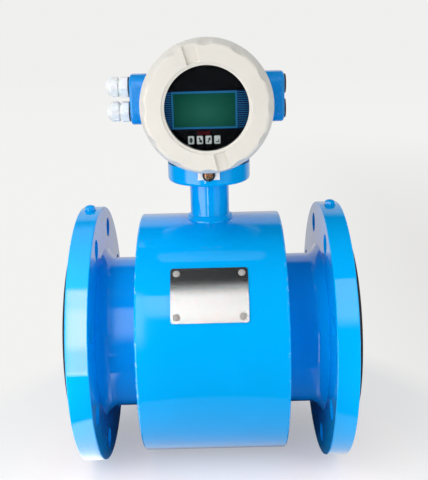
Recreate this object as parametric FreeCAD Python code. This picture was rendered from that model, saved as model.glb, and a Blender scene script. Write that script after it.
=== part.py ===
import FreeCAD, Part
import math
import os

Vector = FreeCAD.Vector

# Electromagnetic flow meter: a lined measuring tube between two flanges, with a coil
# housing round it and a two-cover converter standing on a neck. Lengths are millimetres.
# The origin is the middle of the tube axis. +X runs along the flow, +Z up to the
# converter, and the display looks along -Y.

# ---- Fits ------------------------------------------------------------------------------------
seat_clearance = 0.1        # radial gap of pieces that are pressed, bonded or welded in
running_clearance = 0.3     # gap of threads and pieces that travel
drill_clearance = 2.0       # room left past the end of a screw or rivet
overrun = 1.0               # how far a cutter passes the face that it enters

# ---- Measuring tube and process connections --------------------------------------------------
bore_diameter = 150.0
tube_diameter = 168.3
tube_wall = 4.5
steel_length = 291.0        # over both raised faces
flange_diameter = 285.0
flange_thickness = 22.5
flange_edge_radius = 1.0
raised_face_margin = 3.0    # from the raised face's rim to the bolt holes
raised_face_height = 3.0
bolt_edge_distance = 22.5   # from the flange's rim to the bolt circle
bolt_hole_diameter = 22.0
bolt_count = 8
flange_weld_leg = 8.0
flange_weld_toe = 0.5
flange_weld_radius = 2.7
liner_flare_overhang = 2.0  # liner's face past the raised face
liner_flare_thickness = 6.0
liner_flare_edge_radius = 1.5

# ---- Earth bolts on the flange rims ----------------------------------------------------------
earth_bolt_diameter = 6.0
earth_bolt_depth = 14.0
earth_bolt_across_flats = 10.0
earth_bolt_head_height = 5.0
earth_bolt_dome_radius = 9.0
earth_washer_diameter = 12.5
earth_washer_thickness = 1.2

# ---- Coil housing ----------------------------------------------------------------------------
drum_diameter = 266.0
drum_width = 153.2
drum_wall = 4.0
drum_edge_radius = 2.2
end_plate_thickness = 5.0
end_plate_recess = 1.0

# ---- Coils, yoke and electrodes --------------------------------------------------------------
pole_shoe_length = 90.0
pole_shoe_thickness = 5.0
pole_shoe_angle = 84.0
pole_core_length = 46.0
pole_core_width = 26.0
coil_length = 96.0
coil_width = 76.0
coil_corner_radius = 16.0
coil_core_gap = 1.0
coil_window_radius = 2.0
coil_yoke_gap = 1.3
yoke_shell_gap = 10.0
yoke_thickness = 4.0
yoke_width = 56.0
electrode_head_diameter = 14.0
electrode_head_thickness = 2.0
electrode_recess = 0.3
electrode_shaft_diameter = 6.0
electrode_length = 27.0
bush_diameter = 15.0
bush_flange_diameter = 22.0
bush_flange_thickness = 4.0
electrode_nut_across_flats = 11.0
electrode_nut_height = 5.0

# ---- Nameplate -------------------------------------------------------------------------------
nameplate_width = 77.3
nameplate_offset = -1.9
nameplate_low_angle = 25.0   # degrees above the front of the drum
nameplate_high_angle = 49.5
nameplate_thickness = 1.0
nameplate_corner_radius = 3.0
rivet_inset = 6.0
rivet_head_diameter = 7.4
rivet_head_height = 1.9
rivet_shank_diameter = 3.2
rivet_shank_length = 3.5

# ---- Neck and converter seat -----------------------------------------------------------------
neck_diameter = 42.0
neck_wall = 3.0
neck_height = 41.7           # from the crown of the drum to the seat
neck_weld_leg = 4.5
neck_weld_toe = 0.3
neck_weld_root = 4.0
neck_insertion = 2.0         # below the inside of the drum
seat_diameter = 88.0
seat_floor = 6.0
seat_wall = 13.0
seat_height = 19.8
seat_edge_radius = 4.0
seat_inner_radius = 2.0
seat_gasket_thickness = 1.5
seat_gasket_inset = 0.6
seat_screw_diameter = 5.0
seat_screw_circle_diameter = 74.0
seat_screw_head_diameter = 8.5
seat_screw_head_height = 5.0
seat_screw_socket = 4.0
seat_screw_socket_depth = 2.5
seat_screw_well_gap = 0.6
seat_screw_grip = 10.0
seat_screw_bite = 10.0
lead_diameter = 9.0

# ---- Earth terminal on the front of the seat -------------------------------------------------
terminal_plate_width = 22.5
terminal_plate_height = 10.4
terminal_plate_thickness = 1.5
terminal_height = 13.3       # screw above the bottom of the seat
terminal_screw_diameter = 6.0
terminal_screw_depth = 9.0
terminal_head_diameter = 9.0
terminal_head_height = 3.2
terminal_head_edge_radius = 1.2
terminal_slot_width = 1.2
terminal_slot_depth = 1.2
spring_washer_diameter = 13.0
spring_washer_thickness = 1.8
spring_washer_split = 1.5

# ---- Converter housing -----------------------------------------------------------------------
converter_axis_height = 63.0   # above the foot of the housing
barrel_diameter = 124.0
barrel_length = 103.4
barrel_edge_radius = 3.0
cover_thread_diameter = 114.0
cover_thread_length = 12.3
cover_thread_edge_radius = 0.8
chamber_diameter = 106.0
bulkhead_front = 20.0          # ahead of the converter's middle
bulkhead_thickness = 4.0
bulkhead_port_diameter = 16.0
bulkhead_port_drop = 38.0
boss_span = 160.0
boss_height = 52.0
boss_depth = 36.0
boss_corner_radius = 13.0
boss_edge_radius = 3.0
boss_rise = 2.9                # middle of the cable entries above the converter axis
entry_pitch = 25.4
entry_diameter = 18.6
entry_breakthrough = 10.6      # past the wall of the chamber
foot_bore_diameter = 40.0
foot_breakthrough = 21.5       # past the lowest point of the chamber

# ---- Screw covers ----------------------------------------------------------------------------
cover_face_distance = 82.0     # front face from the middle of the converter
cover_face_diameter = 122.0
cover_face_edge_radius = 3.5
cover_rim_diameter = 131.2
cover_rim_length = 12.5
cover_rim_edge_radius = 1.2
cover_shoulder_radius = 2.0
cover_lip_thickness = 5.0
window_opening_diameter = 81.4
window_chamfer = 1.6
window_diameter = 92.4
window_thickness = 8.0
window_ring_length = 4.2
window_ring_bore_diameter = 83.0
window_ring_notch = 4.0
window_ring_notch_depth = 1.5
scallop_count = 12
scallop_width = 14.5
scallop_depth = 2.4
scallop_flattening = 3.0       # added to the radius that width and depth give
scallop_runout = 10.0
key_slot_width = 11.4
key_slot_depth = 3.0
key_slot_start_diameter = 88.0
key_slot_tilt = 15.0           # degrees from upright
blind_cover_thickness = 6.0
cover_ring_section = 3.0       # sealing ring

# ---- Display ---------------------------------------------------------------------------------
panel_distance = 62.0          # face of the panel from the middle of the converter
panel_diameter = 104.0
panel_thickness = 2.0
lcd_offset_x = -2.4
lcd_offset_z = -3.3
lcd_glass_width = 60.4
lcd_glass_height = 32.4
lcd_body_width = 68.0
lcd_body_height = 40.0
lcd_glass_recess = 0.3
indicator_width = 12.1
indicator_height = 3.8
indicator_offset_x = -3.4
indicator_offset_z = -25.7
button_count = 4
button_pitch = 8.6
button_width = 5.8
button_height = 8.0
button_offset_x = -3.4
button_offset_z = -32.3
button_stand = 0.8             # how far a button stands out of the panel
button_travel = 0.6
button_flange = 0.8
button_flange_thickness = 1.0
button_corner_radius = 0.8
switch_side = 5.0
display_board_distance = 54.0
display_board_diameter = 96.0
board_thickness = 1.6
main_board_distance = 31.6
main_board_width = 78.0
main_board_height = 72.0
main_board_corner = 12.0
transformer_side = 22.0
transformer_height = 14.0
transformer_edge_radius = 2.0
transformer_offset_x = -19.5
transformer_offset_z = 4.0
socket_width = 26.0
socket_height = 7.0
socket_depth = 8.0
socket_offset_x = 13.0
spacer_across_flats = 5.5
spacer_offset_x = 30.0
spacer_offset_z = 32.0

# ---- Terminal block --------------------------------------------------------------------------
terminal_ways = 8
terminal_way_pitch = 9.0
terminal_end_wall = 2.0
terminal_block_depth = 24.0
terminal_block_height = 22.0
terminal_step_depth = 9.0
terminal_step_height = 10.0
terminal_step_slope = 2.0
terminal_wire_diameter = 4.5
terminal_wire_depth = 10.0
terminal_wire_height = 5.5
terminal_well_floor = 8.5
clamp_screw_diameter = 4.5
clamp_screw_length = 5.0
clamp_slot_width = 0.8
clamp_slot_depth = 1.0

# ---- Cable glands and blanking plugs ---------------------------------------------------------
gland_gasket_diameter = 20.5
gland_gasket_thickness = 2.0
gland_across_flats = 20.5
gland_corner_diameter = 22.76
gland_hex_length = 7.5
gland_hex_root = 1.0
gland_shank_edge_radius = 0.8
gland_thread_edge_radius = 0.6
gland_shank_length = 9.0
gland_thread_diameter = 17.2
gland_thread_length = 10.0
gland_bore_diameter = 10.0
gland_nut_gap = 2.6
gland_nut_length = 12.7
gland_nut_diameter = 21.4
gland_nut_edge_radius = 0.8
gland_nut_dome_length = 4.5
gland_nut_dome_radius = 2.5
gland_nut_nose_width = 1.5
gland_nut_nose_radius = 1.0
gland_nut_rib_count = 10
gland_nut_rib_width = 2.6
gland_nut_rib_height = 0.7
gland_nut_rib_start = 1.0
gland_nut_rib_end = 5.0
gland_nut_wall = 3.0
gland_nut_opening_diameter = 10.0
insert_diameter = 12.4
insert_length = 13.4
insert_hole_diameter = 7.0
plug_head_diameter = 20.0
plug_head_thickness = 2.3
plug_edge_radius = 0.8
plug_shank_length = 9.0
plug_socket_across_flats = 8.0
plug_socket_depth = 6.0

# ---- Stations worked out from the sizes above ------------------------------------------------
bore_radius = bore_diameter / 2
tube_radius = tube_diameter / 2
tube_bore_radius = tube_radius - tube_wall
drum_radius = drum_diameter / 2
drum_bore_radius = drum_radius - drum_wall
flange_radius = flange_diameter / 2
bolt_circle_radius = flange_radius - bolt_edge_distance
raised_face_radius = bolt_circle_radius - bolt_hole_diameter / 2 - raised_face_margin
liner_flare_radius = raised_face_radius + liner_flare_overhang
liner_radius = tube_bore_radius - seat_clearance
yoke_radius = drum_bore_radius - yoke_shell_gap
yoke_bore_radius = yoke_radius - yoke_thickness
raised_face_x = steel_length / 2
flange_front_x = raised_face_x - raised_face_height
flange_back_x = flange_front_x - flange_thickness
flange_middle_x = (flange_front_x + flange_back_x) / 2
liner_face_x = raised_face_x + liner_flare_thickness
seat_bottom_z = drum_radius + neck_height
seat_top_z = seat_bottom_z + seat_height
foot_z = seat_top_z + seat_gasket_thickness
axis_z = foot_z + converter_axis_height
shoulder_distance = barrel_length / 2
thread_end_distance = shoulder_distance + cover_thread_length
cover_end_distance = shoulder_distance + running_clearance
ring_station = cover_end_distance + cover_ring_section / 2
lip_distance = cover_face_distance - cover_lip_thickness
window_back_distance = lip_distance - window_thickness
window_ring_end = window_back_distance - window_ring_length
boss_face_x = boss_span / 2
entry_z = axis_z + boss_rise
gland_face_x = boss_face_x + gland_gasket_thickness
gland_hex_end_x = gland_face_x + gland_hex_length
gland_thread_end_x = gland_hex_end_x + gland_thread_length
gland_nut_start_x = gland_hex_end_x + gland_nut_gap
gland_nut_end_x = gland_nut_start_x + gland_nut_length
insert_end_x = gland_nut_end_x - gland_nut_wall - running_clearance
panel_back_distance = panel_distance - panel_thickness
electrode_shaft_start = bore_radius + electrode_recess
bulkhead_back = bulkhead_front - bulkhead_thickness
terminal_block_width = terminal_ways * terminal_way_pitch + 2 * terminal_end_wall
foot_bore_length = converter_axis_height - chamber_diameter / 2 + foot_breakthrough
terminal_block_bottom_z = axis_z - terminal_block_height / 2

UP = Vector(0, 0, 1)
ALONG = Vector(1, 0, 0)
FRONT = Vector(0, -1, 0)
REAR = Vector(0, 1, 0)
FLOW_CENTRE = Vector(0, 0, 0)


# ---- Ways of making a form -------------------------------------------------------------------
def rod(radius, start, direction, length):
    """Round bar from a point along a direction."""
    return Part.makeCylinder(radius, length, start, direction)


def sleeve(outer, inner, start, direction, length):
    """Round tube from a point along a direction."""
    return rod(outer, start, direction, length).cut(rod(inner, start, direction, length))


def corner_arc(before, corner, after, radius):
    """Start, middle and end of the arc that rounds a corner."""
    to_before = (before - corner).normalize()
    to_after = (after - corner).normalize()
    half_angle = to_before.getAngle(to_after) / 2
    reach = radius / math.tan(half_angle)
    inward = (to_before + to_after).normalize()
    middle = corner + inward * (radius / math.sin(half_angle) - radius)
    return corner + to_before * reach, middle, corner + to_after * reach


def rounded_face(corners):
    """Flat face with corners given as (point, radius); radius 0 keeps a sharp corner."""
    count = len(corners)
    stops = []
    for index, (point, radius) in enumerate(corners):
        if radius:
            before = corners[index - 1][0]
            after = corners[(index + 1) % count][0]
            stops.append(corner_arc(before, point, after, radius))
        else:
            stops.append((point, None, point))
    edges = []
    for index, (start, middle, end) in enumerate(stops):
        if middle:
            edges.append(Part.Arc(start, middle, end).toShape())
        next_start = stops[(index + 1) % count][0]
        if (next_start - end).Length > 1e-6:
            edges.append(Part.makeLine(end, next_start))
    return Part.Face(Part.Wire(edges))


def turned(profile, point_at, centre, axis):
    """Solid of revolution from (station, radius, corner radius) triples."""
    corners = []
    for station, radius, rounding in profile:
        corners.append((point_at(station, radius), rounding))
    return rounded_face(corners).revolve(centre, axis, 360)


def prism(corners, direction):
    """Straight prism on a flat face with rounded corners."""
    return rounded_face(corners).extrude(direction)


def hexagon(across_flats, start, direction, length):
    """Hexagonal bar from a point along a direction."""
    across_corners = across_flats / math.cos(math.radians(30)) / 2
    rotation = FreeCAD.Rotation(UP, direction)
    corners = []
    for side in range(6):
        angle = math.radians(60 * side + 30)
        flat = Vector(across_corners * math.cos(angle), across_corners * math.sin(angle), 0)
        corners.append((start + rotation.multVec(flat), 0))
    return prism(corners, direction * length)


def box_between(low, high):
    """Box from its lowest to its highest corner."""
    size = high - low
    return Part.makeBox(size.x, size.y, size.z, low)


def tube_point(station, radius):
    """Point of a profile turned about the flow axis."""
    return Vector(station, 0, radius)


def neck_point(height, radius):
    """Point of a profile turned about the neck."""
    return Vector(radius, 0, height)


def converter_point(side):
    """Profile points about the converter axis, measured from its middle to the front or rear."""
    def point_at(station, radius):
        return Vector(radius, side.y * station, axis_z)
    return point_at


def head(side, station, across=0.0, rise=0.0):
    """Point beside the converter axis: station towards one side, across along X, rise along Z."""
    return Vector(across, side.y * station, axis_z + rise)


def panel_rectangle(station, depth, width, height, across, rise, rounding=0.0):
    """Upright block behind the window, its face at a station and its body running back."""
    half_width = width / 2
    half_height = height / 2
    corners = []
    for x, z in ((-half_width, -half_height), (half_width, -half_height),
                 (half_width, half_height), (-half_width, half_height)):
        corners.append((head(FRONT, station, across + x, rise + z), rounding))
    return prism(corners, REAR * depth)


def group(solids):
    """Separate solids kept together in one node."""
    return Part.makeCompound(solids)


# ---- Tube, liner and flanges -----------------------------------------------------------------
def electrode_bore(side, radius, reach):
    """Round cutter through the wall of the tube on the electrode axis."""
    return rod(radius, FLOW_CENTRE, side, reach)


def make_measuring_tube():
    length = steel_length
    start = Vector(-length / 2, 0, 0)
    tube = sleeve(tube_radius, tube_bore_radius, start, ALONG, length)
    for side in (FRONT, REAR):
        tube = tube.cut(electrode_bore(side, bush_diameter / 2 + seat_clearance, tube_diameter))
    return tube


def make_tube_liner():
    """Rubber sleeve bonded into the tube, as long as the meter."""
    liner = sleeve(liner_radius, bore_radius, Vector(-liner_face_x, 0, 0), ALONG, 2 * liner_face_x)
    shaft = electrode_shaft_diameter / 2 + seat_clearance
    pocket = electrode_head_diameter / 2 + seat_clearance
    pocket_end = electrode_shaft_start + electrode_head_thickness
    for side in (FRONT, REAR):
        liner = liner.cut(electrode_bore(side, shaft, tube_diameter))
        liner = liner.cut(electrode_bore(side, pocket, pocket_end))
    return liner


def make_liner_face(side):
    """Rubber ring on the raised face, which seals against the pipe's flange."""
    profile = (
        (side * raised_face_x, tube_bore_radius, 0), (side * raised_face_x, liner_flare_radius, 0),
        (side * liner_face_x, liner_flare_radius, liner_flare_edge_radius),
        (side * liner_face_x, tube_bore_radius, 0),
    )
    return turned(profile, tube_point, FLOW_CENTRE, ALONG)


def make_flange(side):
    """Raised-face flange with its back weld, on the side given as -1 or +1."""
    bore = tube_radius + seat_clearance
    rim = flange_radius
    face = raised_face_radius
    profile = (
        (side * raised_face_x, bore, 0), (side * raised_face_x, face, 0),
        (side * flange_front_x, face, 0), (side * flange_front_x, rim, flange_edge_radius),
        (side * flange_back_x, rim, flange_edge_radius),
        (side * flange_back_x, bore + flange_weld_leg, flange_weld_radius),
        (side * (flange_back_x - flange_weld_leg), bore + flange_weld_toe, 0),
        (side * (flange_back_x - flange_weld_leg), bore, 0),
    )
    flange = turned(profile, tube_point, FLOW_CENTRE, ALONG)
    for index in range(bolt_count):
        angle = math.radians(360 / bolt_count * (index + 0.5))
        centre = Vector(side * flange_back_x, math.cos(angle) * bolt_circle_radius,
                        math.sin(angle) * bolt_circle_radius)
        flange = flange.cut(rod(bolt_hole_diameter / 2, centre, ALONG * side, flange_thickness))
    tapping = rod(earth_bolt_diameter / 2 + seat_clearance,
                  Vector(side * flange_middle_x, 0, rim + overrun), UP * -1,
                  earth_bolt_depth + drill_clearance + overrun)
    return flange.cut(tapping)


def make_earth_bolts():
    bolts = []
    for side in (-1, 1):
        foot = Vector(side * flange_middle_x, 0, flange_radius + earth_washer_thickness)
        head_part = hexagon(earth_bolt_across_flats, foot, UP, earth_bolt_head_height)
        dome = Part.makeSphere(earth_bolt_dome_radius,
                               foot + UP * (earth_bolt_head_height - earth_bolt_dome_radius))
        shank = rod(earth_bolt_diameter / 2, foot, UP * -1, earth_bolt_depth)
        bolts.append(head_part.common(dome).fuse(shank))
    return group(bolts)


def make_earth_washers():
    washers = []
    for side in (-1, 1):
        foot = Vector(side * flange_middle_x, 0, flange_radius)
        washers.append(sleeve(earth_washer_diameter / 2, earth_bolt_diameter / 2 + seat_clearance,
                              foot, UP, earth_washer_thickness))
    return group(washers)


# ---- Coil housing ----------------------------------------------------------------------------
def make_drum_shell():
    half = drum_width / 2
    inner = drum_bore_radius
    profile = (
        (-half, inner, 0), (-half, drum_radius, drum_edge_radius),
        (half, drum_radius, drum_edge_radius), (half, inner, 0),
    )
    shell = turned(profile, tube_point, FLOW_CENTRE, ALONG)
    shell = shell.cut(rod(neck_diameter / 2 + seat_clearance, FLOW_CENTRE, UP, drum_diameter))
    for x, angle in rivet_places():
        shell = shell.cut(rod(rivet_shank_diameter / 2 + seat_clearance,
                              drum_surface(x, angle, drum_radius + overrun),
                              drum_normal(angle) * -1,
                              rivet_shank_length + drill_clearance + overrun))
    return shell


def make_end_plate(side):
    """Ring that closes the drum round the tube, welded to both."""
    outer = drum_bore_radius - seat_clearance
    start = Vector(side * (drum_width / 2 - end_plate_recess), 0, 0)
    return sleeve(outer, tube_radius + seat_clearance, start, ALONG * -side, end_plate_thickness)


# ---- Coils, yoke and electrodes --------------------------------------------------------------
def pole_shoe_top():
    return tube_radius + seat_clearance + pole_shoe_thickness


def make_pole_shoe(side):
    """Curved shoe on the tube with the coil core standing on it."""
    inner = tube_radius + seat_clearance
    half = pole_shoe_length / 2
    corners = [(Vector(-half, 0, inner), 0), (Vector(half, 0, inner), 0),
               (Vector(half, 0, pole_shoe_top()), 0), (Vector(-half, 0, pole_shoe_top()), 0)]
    face = rounded_face(corners)
    face.rotate(FLOW_CENTRE, ALONG, -pole_shoe_angle / 2)
    shoe = face.revolve(FLOW_CENTRE, ALONG, pole_shoe_angle)
    reach = yoke_bore_radius - seat_clearance
    core = box_between(Vector(-pole_core_length / 2, -pole_core_width / 2, inner + overrun),
                       Vector(pole_core_length / 2, pole_core_width / 2, yoke_radius))
    core = core.common(rod(reach, Vector(-half, 0, 0), ALONG, pole_shoe_length))
    core = core.cut(rod(inner + overrun, Vector(-half, 0, 0), ALONG, pole_shoe_length))
    shoe = shoe.fuse(core)
    if side < 0:
        shoe.rotate(FLOW_CENTRE, ALONG, 180)
    return shoe


def coil_loop(length, width, rounding, low, high):
    """Upright prism on a rounded rectangle about the Z axis."""
    corners = []
    for x, y in ((-1, -1), (1, -1), (1, 1), (-1, 1)):
        corners.append((Vector(x * length / 2, y * width / 2, low), rounding))
    return prism(corners, UP * (high - low))


def make_coil(side):
    """Saddle coil round the core, between the curve of the shoe and the yoke."""
    top = math.sqrt((yoke_bore_radius - coil_yoke_gap) ** 2 - (coil_width / 2) ** 2)
    outer = coil_loop(coil_length, coil_width, coil_corner_radius, 0, top)
    window = coil_loop(pole_core_length + 2 * coil_core_gap, pole_core_width + 2 * coil_core_gap,
                       coil_window_radius, -overrun, top + overrun)
    saddle = rod(pole_shoe_top() + seat_clearance, Vector(-coil_length, 0, 0), ALONG, coil_length * 2)
    coil = outer.cut(window).cut(saddle)
    if side < 0:
        coil.rotate(FLOW_CENTRE, ALONG, 180)
    return coil


def make_yoke():
    """Rolled iron band that closes the magnetic circuit round both cores."""
    start = Vector(-yoke_width / 2, 0, 0)
    return sleeve(yoke_radius, yoke_bore_radius, start, ALONG, yoke_width)


def make_electrode(side):
    head_part = electrode_bore(side, electrode_head_diameter / 2,
                               electrode_shaft_start + electrode_head_thickness)
    shaft = electrode_bore(side, electrode_shaft_diameter / 2, electrode_shaft_start + electrode_length)
    inside = rod(electrode_shaft_start, Vector(-bore_diameter, 0, 0), ALONG, bore_diameter * 2)
    return head_part.fuse(shaft).cut(inside)


def make_electrode_bushes():
    """Insulating bushes in the tube wall, with a flange under each nut."""
    bushes = []
    low = tube_bore_radius + seat_clearance
    flange_low = tube_radius + seat_clearance
    hole = electrode_shaft_diameter / 2 + seat_clearance
    for side in (FRONT, REAR):
        body = rod(bush_diameter / 2, side * low, side, flange_low - low + overrun)
        flange = rod(bush_flange_diameter / 2, side * flange_low, side, bush_flange_thickness)
        bushes.append(body.fuse(flange).cut(electrode_bore(side, hole, tube_diameter)))
    return group(bushes)


def make_electrode_nuts():
    nuts = []
    base = tube_radius + seat_clearance + bush_flange_thickness
    hole = electrode_shaft_diameter / 2 + seat_clearance
    for side in (FRONT, REAR):
        nut = hexagon(electrode_nut_across_flats, side * base, side, electrode_nut_height)
        nuts.append(nut.cut(electrode_bore(side, hole, tube_diameter)))
    return group(nuts)


# ---- Nameplate -------------------------------------------------------------------------------
def drum_normal(angle):
    """Outward direction on the front of the drum, degrees above horizontal."""
    return Vector(0, -math.cos(math.radians(angle)), math.sin(math.radians(angle)))


def drum_surface(x, angle, radius):
    return drum_normal(angle) * radius + Vector(x, 0, 0)


def rivet_places():
    """Position along the tube and angle of each rivet."""
    inset_angle = math.degrees(rivet_inset / drum_radius)
    places = []
    for end in (-1, 1):
        x = nameplate_offset + end * (nameplate_width / 2 - rivet_inset)
        places.append((x, nameplate_low_angle + inset_angle))
        places.append((x, nameplate_high_angle - inset_angle))
    return places


def make_nameplate():
    """Thin bare plate bent to the drum, with rounded corners."""
    low = drum_radius + seat_clearance
    high = low + nameplate_thickness
    left = nameplate_offset - nameplate_width / 2
    right = nameplate_offset + nameplate_width / 2
    corners = []
    for x, radius in ((left, low), (right, low), (right, high), (left, high)):
        corners.append((drum_surface(x, nameplate_high_angle, radius), 0))
    arc = nameplate_high_angle - nameplate_low_angle
    plate = rounded_face(corners).revolve(FLOW_CENTRE, ALONG, arc)
    short_edges = [edge for edge in plate.Edges if abs(edge.Length - nameplate_thickness) < 0.01]
    plate = plate.makeFillet(nameplate_corner_radius, short_edges)
    for x, angle in rivet_places():
        hole = rod(rivet_shank_diameter / 2 + seat_clearance, drum_surface(x, angle, low - overrun),
                   drum_normal(angle), nameplate_thickness + 2 * overrun)
        plate = plate.cut(hole)
    return plate


def make_nameplate_rivets():
    rivets = []
    base = drum_radius + seat_clearance + nameplate_thickness
    head_radius = rivet_head_diameter / 2
    dome_radius = (head_radius ** 2 + rivet_head_height ** 2) / (2 * rivet_head_height)
    for x, angle in rivet_places():
        normal = drum_normal(angle)
        foot = drum_surface(x, angle, base)
        dome = Part.makeSphere(dome_radius, foot + normal * (rivet_head_height - dome_radius))
        dome = dome.common(rod(head_radius, foot, normal, rivet_head_height + overrun))
        shank = rod(rivet_shank_diameter / 2, foot, normal * -1,
                    rivet_shank_length + nameplate_thickness)
        rivets.append(dome.fuse(shank))
    return group(rivets)


# ---- Neck and seat ---------------------------------------------------------------------------
def make_neck_pipe():
    """Pipe from inside the drum to the seat, with the weld bead that follows the drum."""
    outer = neck_diameter / 2
    start = Vector(0, 0, drum_bore_radius - neck_insertion)
    pipe = sleeve(outer, outer - neck_wall, start, UP, seat_bottom_z - start.z)
    crown = drum_radius + seat_clearance
    profile = (
        (crown - neck_weld_root, outer - overrun, 0),
        (crown - neck_weld_root, outer + neck_weld_leg, 0),
        (crown, outer + neck_weld_leg, 0), (crown + neck_weld_leg, outer + neck_weld_toe, 0),
        (crown + neck_weld_leg, outer - overrun, 0),
    )
    bead = turned(profile, neck_point, FLOW_CENTRE, UP)
    bead = bead.cut(rod(crown, Vector(-drum_width, 0, 0), ALONG, drum_width * 2))
    return pipe.fuse(bead)


def seat_screw_places():
    places = []
    for index in range(4):
        angle = math.radians(45 + 90 * index)
        reach = seat_screw_circle_diameter / 2
        places.append(Vector(math.cos(angle) * reach, math.sin(angle) * reach, 0))
    return places


def make_converter_seat():
    """Cast cup on top of the neck that the converter stands on."""
    outer = seat_diameter / 2
    inner = outer - seat_wall
    hole = neck_diameter / 2 - neck_wall
    profile = (
        (seat_bottom_z, hole, 0), (seat_bottom_z, outer, seat_edge_radius),
        (seat_top_z, outer, 0), (seat_top_z, inner, 0),
        (seat_bottom_z + seat_floor, inner, seat_inner_radius), (seat_bottom_z + seat_floor, hole, 0),
    )
    seat = turned(profile, neck_point, FLOW_CENTRE, UP)
    for place in seat_screw_places():
        start = place + UP * (seat_top_z - seat_screw_bite - drill_clearance)
        seat = seat.cut(rod(seat_screw_diameter / 2 + seat_clearance, start, UP,
                            seat_screw_bite + drill_clearance + overrun))
    start = Vector(0, -outer - overrun, seat_bottom_z + terminal_height)
    return seat.cut(rod(terminal_screw_diameter / 2 + seat_clearance, start, REAR,
                        terminal_screw_depth + drill_clearance + overrun))


def make_seat_gasket():
    outer = seat_diameter / 2 - seat_gasket_inset
    inner = seat_diameter / 2 - seat_wall
    gasket = sleeve(outer, inner, UP * seat_top_z, UP, seat_gasket_thickness)
    for place in seat_screw_places():
        gasket = gasket.cut(rod(seat_screw_diameter / 2 + seat_clearance,
                                place + UP * (seat_top_z - overrun), UP,
                                seat_gasket_thickness + 2 * overrun))
    return gasket


def make_seat_screws():
    """Socket screws that clamp the housing's foot to the seat."""
    screws = []
    for place in seat_screw_places():
        under_head = place + UP * (foot_z + seat_screw_grip)
        length = seat_screw_grip + seat_gasket_thickness + seat_screw_bite
        shank = rod(seat_screw_diameter / 2, under_head, UP * -1, length)
        cap = rod(seat_screw_head_diameter / 2, under_head, UP, seat_screw_head_height)
        socket_floor = under_head + UP * (seat_screw_head_height - seat_screw_socket_depth)
        socket = hexagon(seat_screw_socket, socket_floor, UP, seat_screw_socket_depth + overrun)
        screws.append(cap.fuse(shank).cut(socket))
    return group(screws)


def make_sensor_lead():
    """Jacketed lead from the coils up the neck to the terminal block."""
    start = UP * (yoke_radius + running_clearance)
    end_z = terminal_block_bottom_z - running_clearance
    return rod(lead_diameter / 2, start, UP, end_z - start.z)


# ---- Earth terminal --------------------------------------------------------------------------
def terminal_point(distance):
    """Point on the earth screw's axis, measured out from the front of the seat."""
    return Vector(0, -seat_diameter / 2 - distance, seat_bottom_z + terminal_height)


def make_earth_terminal_plate():
    centre = terminal_point(seat_clearance)
    half = terminal_plate_width / 2
    low = centre + Vector(-half, -terminal_plate_thickness, -terminal_plate_height / 2)
    high = centre + Vector(half, 0, terminal_plate_height / 2)
    hole = rod(terminal_screw_diameter / 2 + seat_clearance,
               terminal_point(terminal_plate_thickness + overrun), REAR,
               terminal_plate_thickness + 2 * overrun)
    return box_between(low, high).cut(hole)


def make_earth_spring_washer():
    start = terminal_point(seat_clearance + terminal_plate_thickness)
    washer = sleeve(spring_washer_diameter / 2, terminal_screw_diameter / 2 + seat_clearance,
                    start, FRONT, spring_washer_thickness)
    gap = box_between(start + Vector(-spring_washer_split / 2, -spring_washer_thickness - overrun, 0),
                      start + Vector(spring_washer_split / 2, overrun, spring_washer_diameter))
    return washer.cut(gap)


def make_earth_terminal_screw():
    distance = seat_clearance + terminal_plate_thickness + spring_washer_thickness
    start = terminal_point(distance)
    cap = rod(terminal_head_diameter / 2, start, FRONT, terminal_head_height)
    rim = [edge for edge in cap.Edges
           if edge.BoundBox.YLength < 0.01 and edge.BoundBox.YMax < start.y - 1]
    cap = cap.makeFillet(terminal_head_edge_radius, rim)
    shank = rod(terminal_screw_diameter / 2, start, REAR, distance + terminal_screw_depth)
    top = start.y - terminal_head_height
    half = terminal_slot_width / 2
    reach = terminal_head_diameter
    slot = box_between(Vector(-reach, top - overrun, start.z - half),
                       Vector(reach, top + terminal_slot_depth, start.z + half))
    return cap.fuse(shank).cut(slot)


# ---- Converter housing -----------------------------------------------------------------------
def make_barrel():
    """Turned body with a threaded neck at each end, still solid inside."""
    barrel = barrel_diameter / 2
    thread = cover_thread_diameter / 2
    profile = (
        (-thread_end_distance, 0, 0), (-thread_end_distance, thread, cover_thread_edge_radius),
        (-shoulder_distance, thread, 0), (-shoulder_distance, barrel, barrel_edge_radius),
        (shoulder_distance, barrel, barrel_edge_radius), (shoulder_distance, thread, 0),
        (thread_end_distance, thread, cover_thread_edge_radius), (thread_end_distance, 0, 0),
    )
    return turned(profile, converter_point(REAR), head(REAR, 0), REAR)


def make_entry_boss():
    """Block across the barrel that carries the cable entries, rounded along its edges."""
    corners = []
    for y, z in ((-1, -1), (1, -1), (1, 1), (-1, 1)):
        point = Vector(-boss_face_x, y * boss_depth / 2, entry_z + z * boss_height / 2)
        corners.append((point, boss_corner_radius))
    boss = prism(corners, ALONG * boss_span)
    ends = [edge for edge in boss.Edges if edge.BoundBox.XLength < 0.01]
    return boss.makeFillet(boss_edge_radius, ends)


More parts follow.
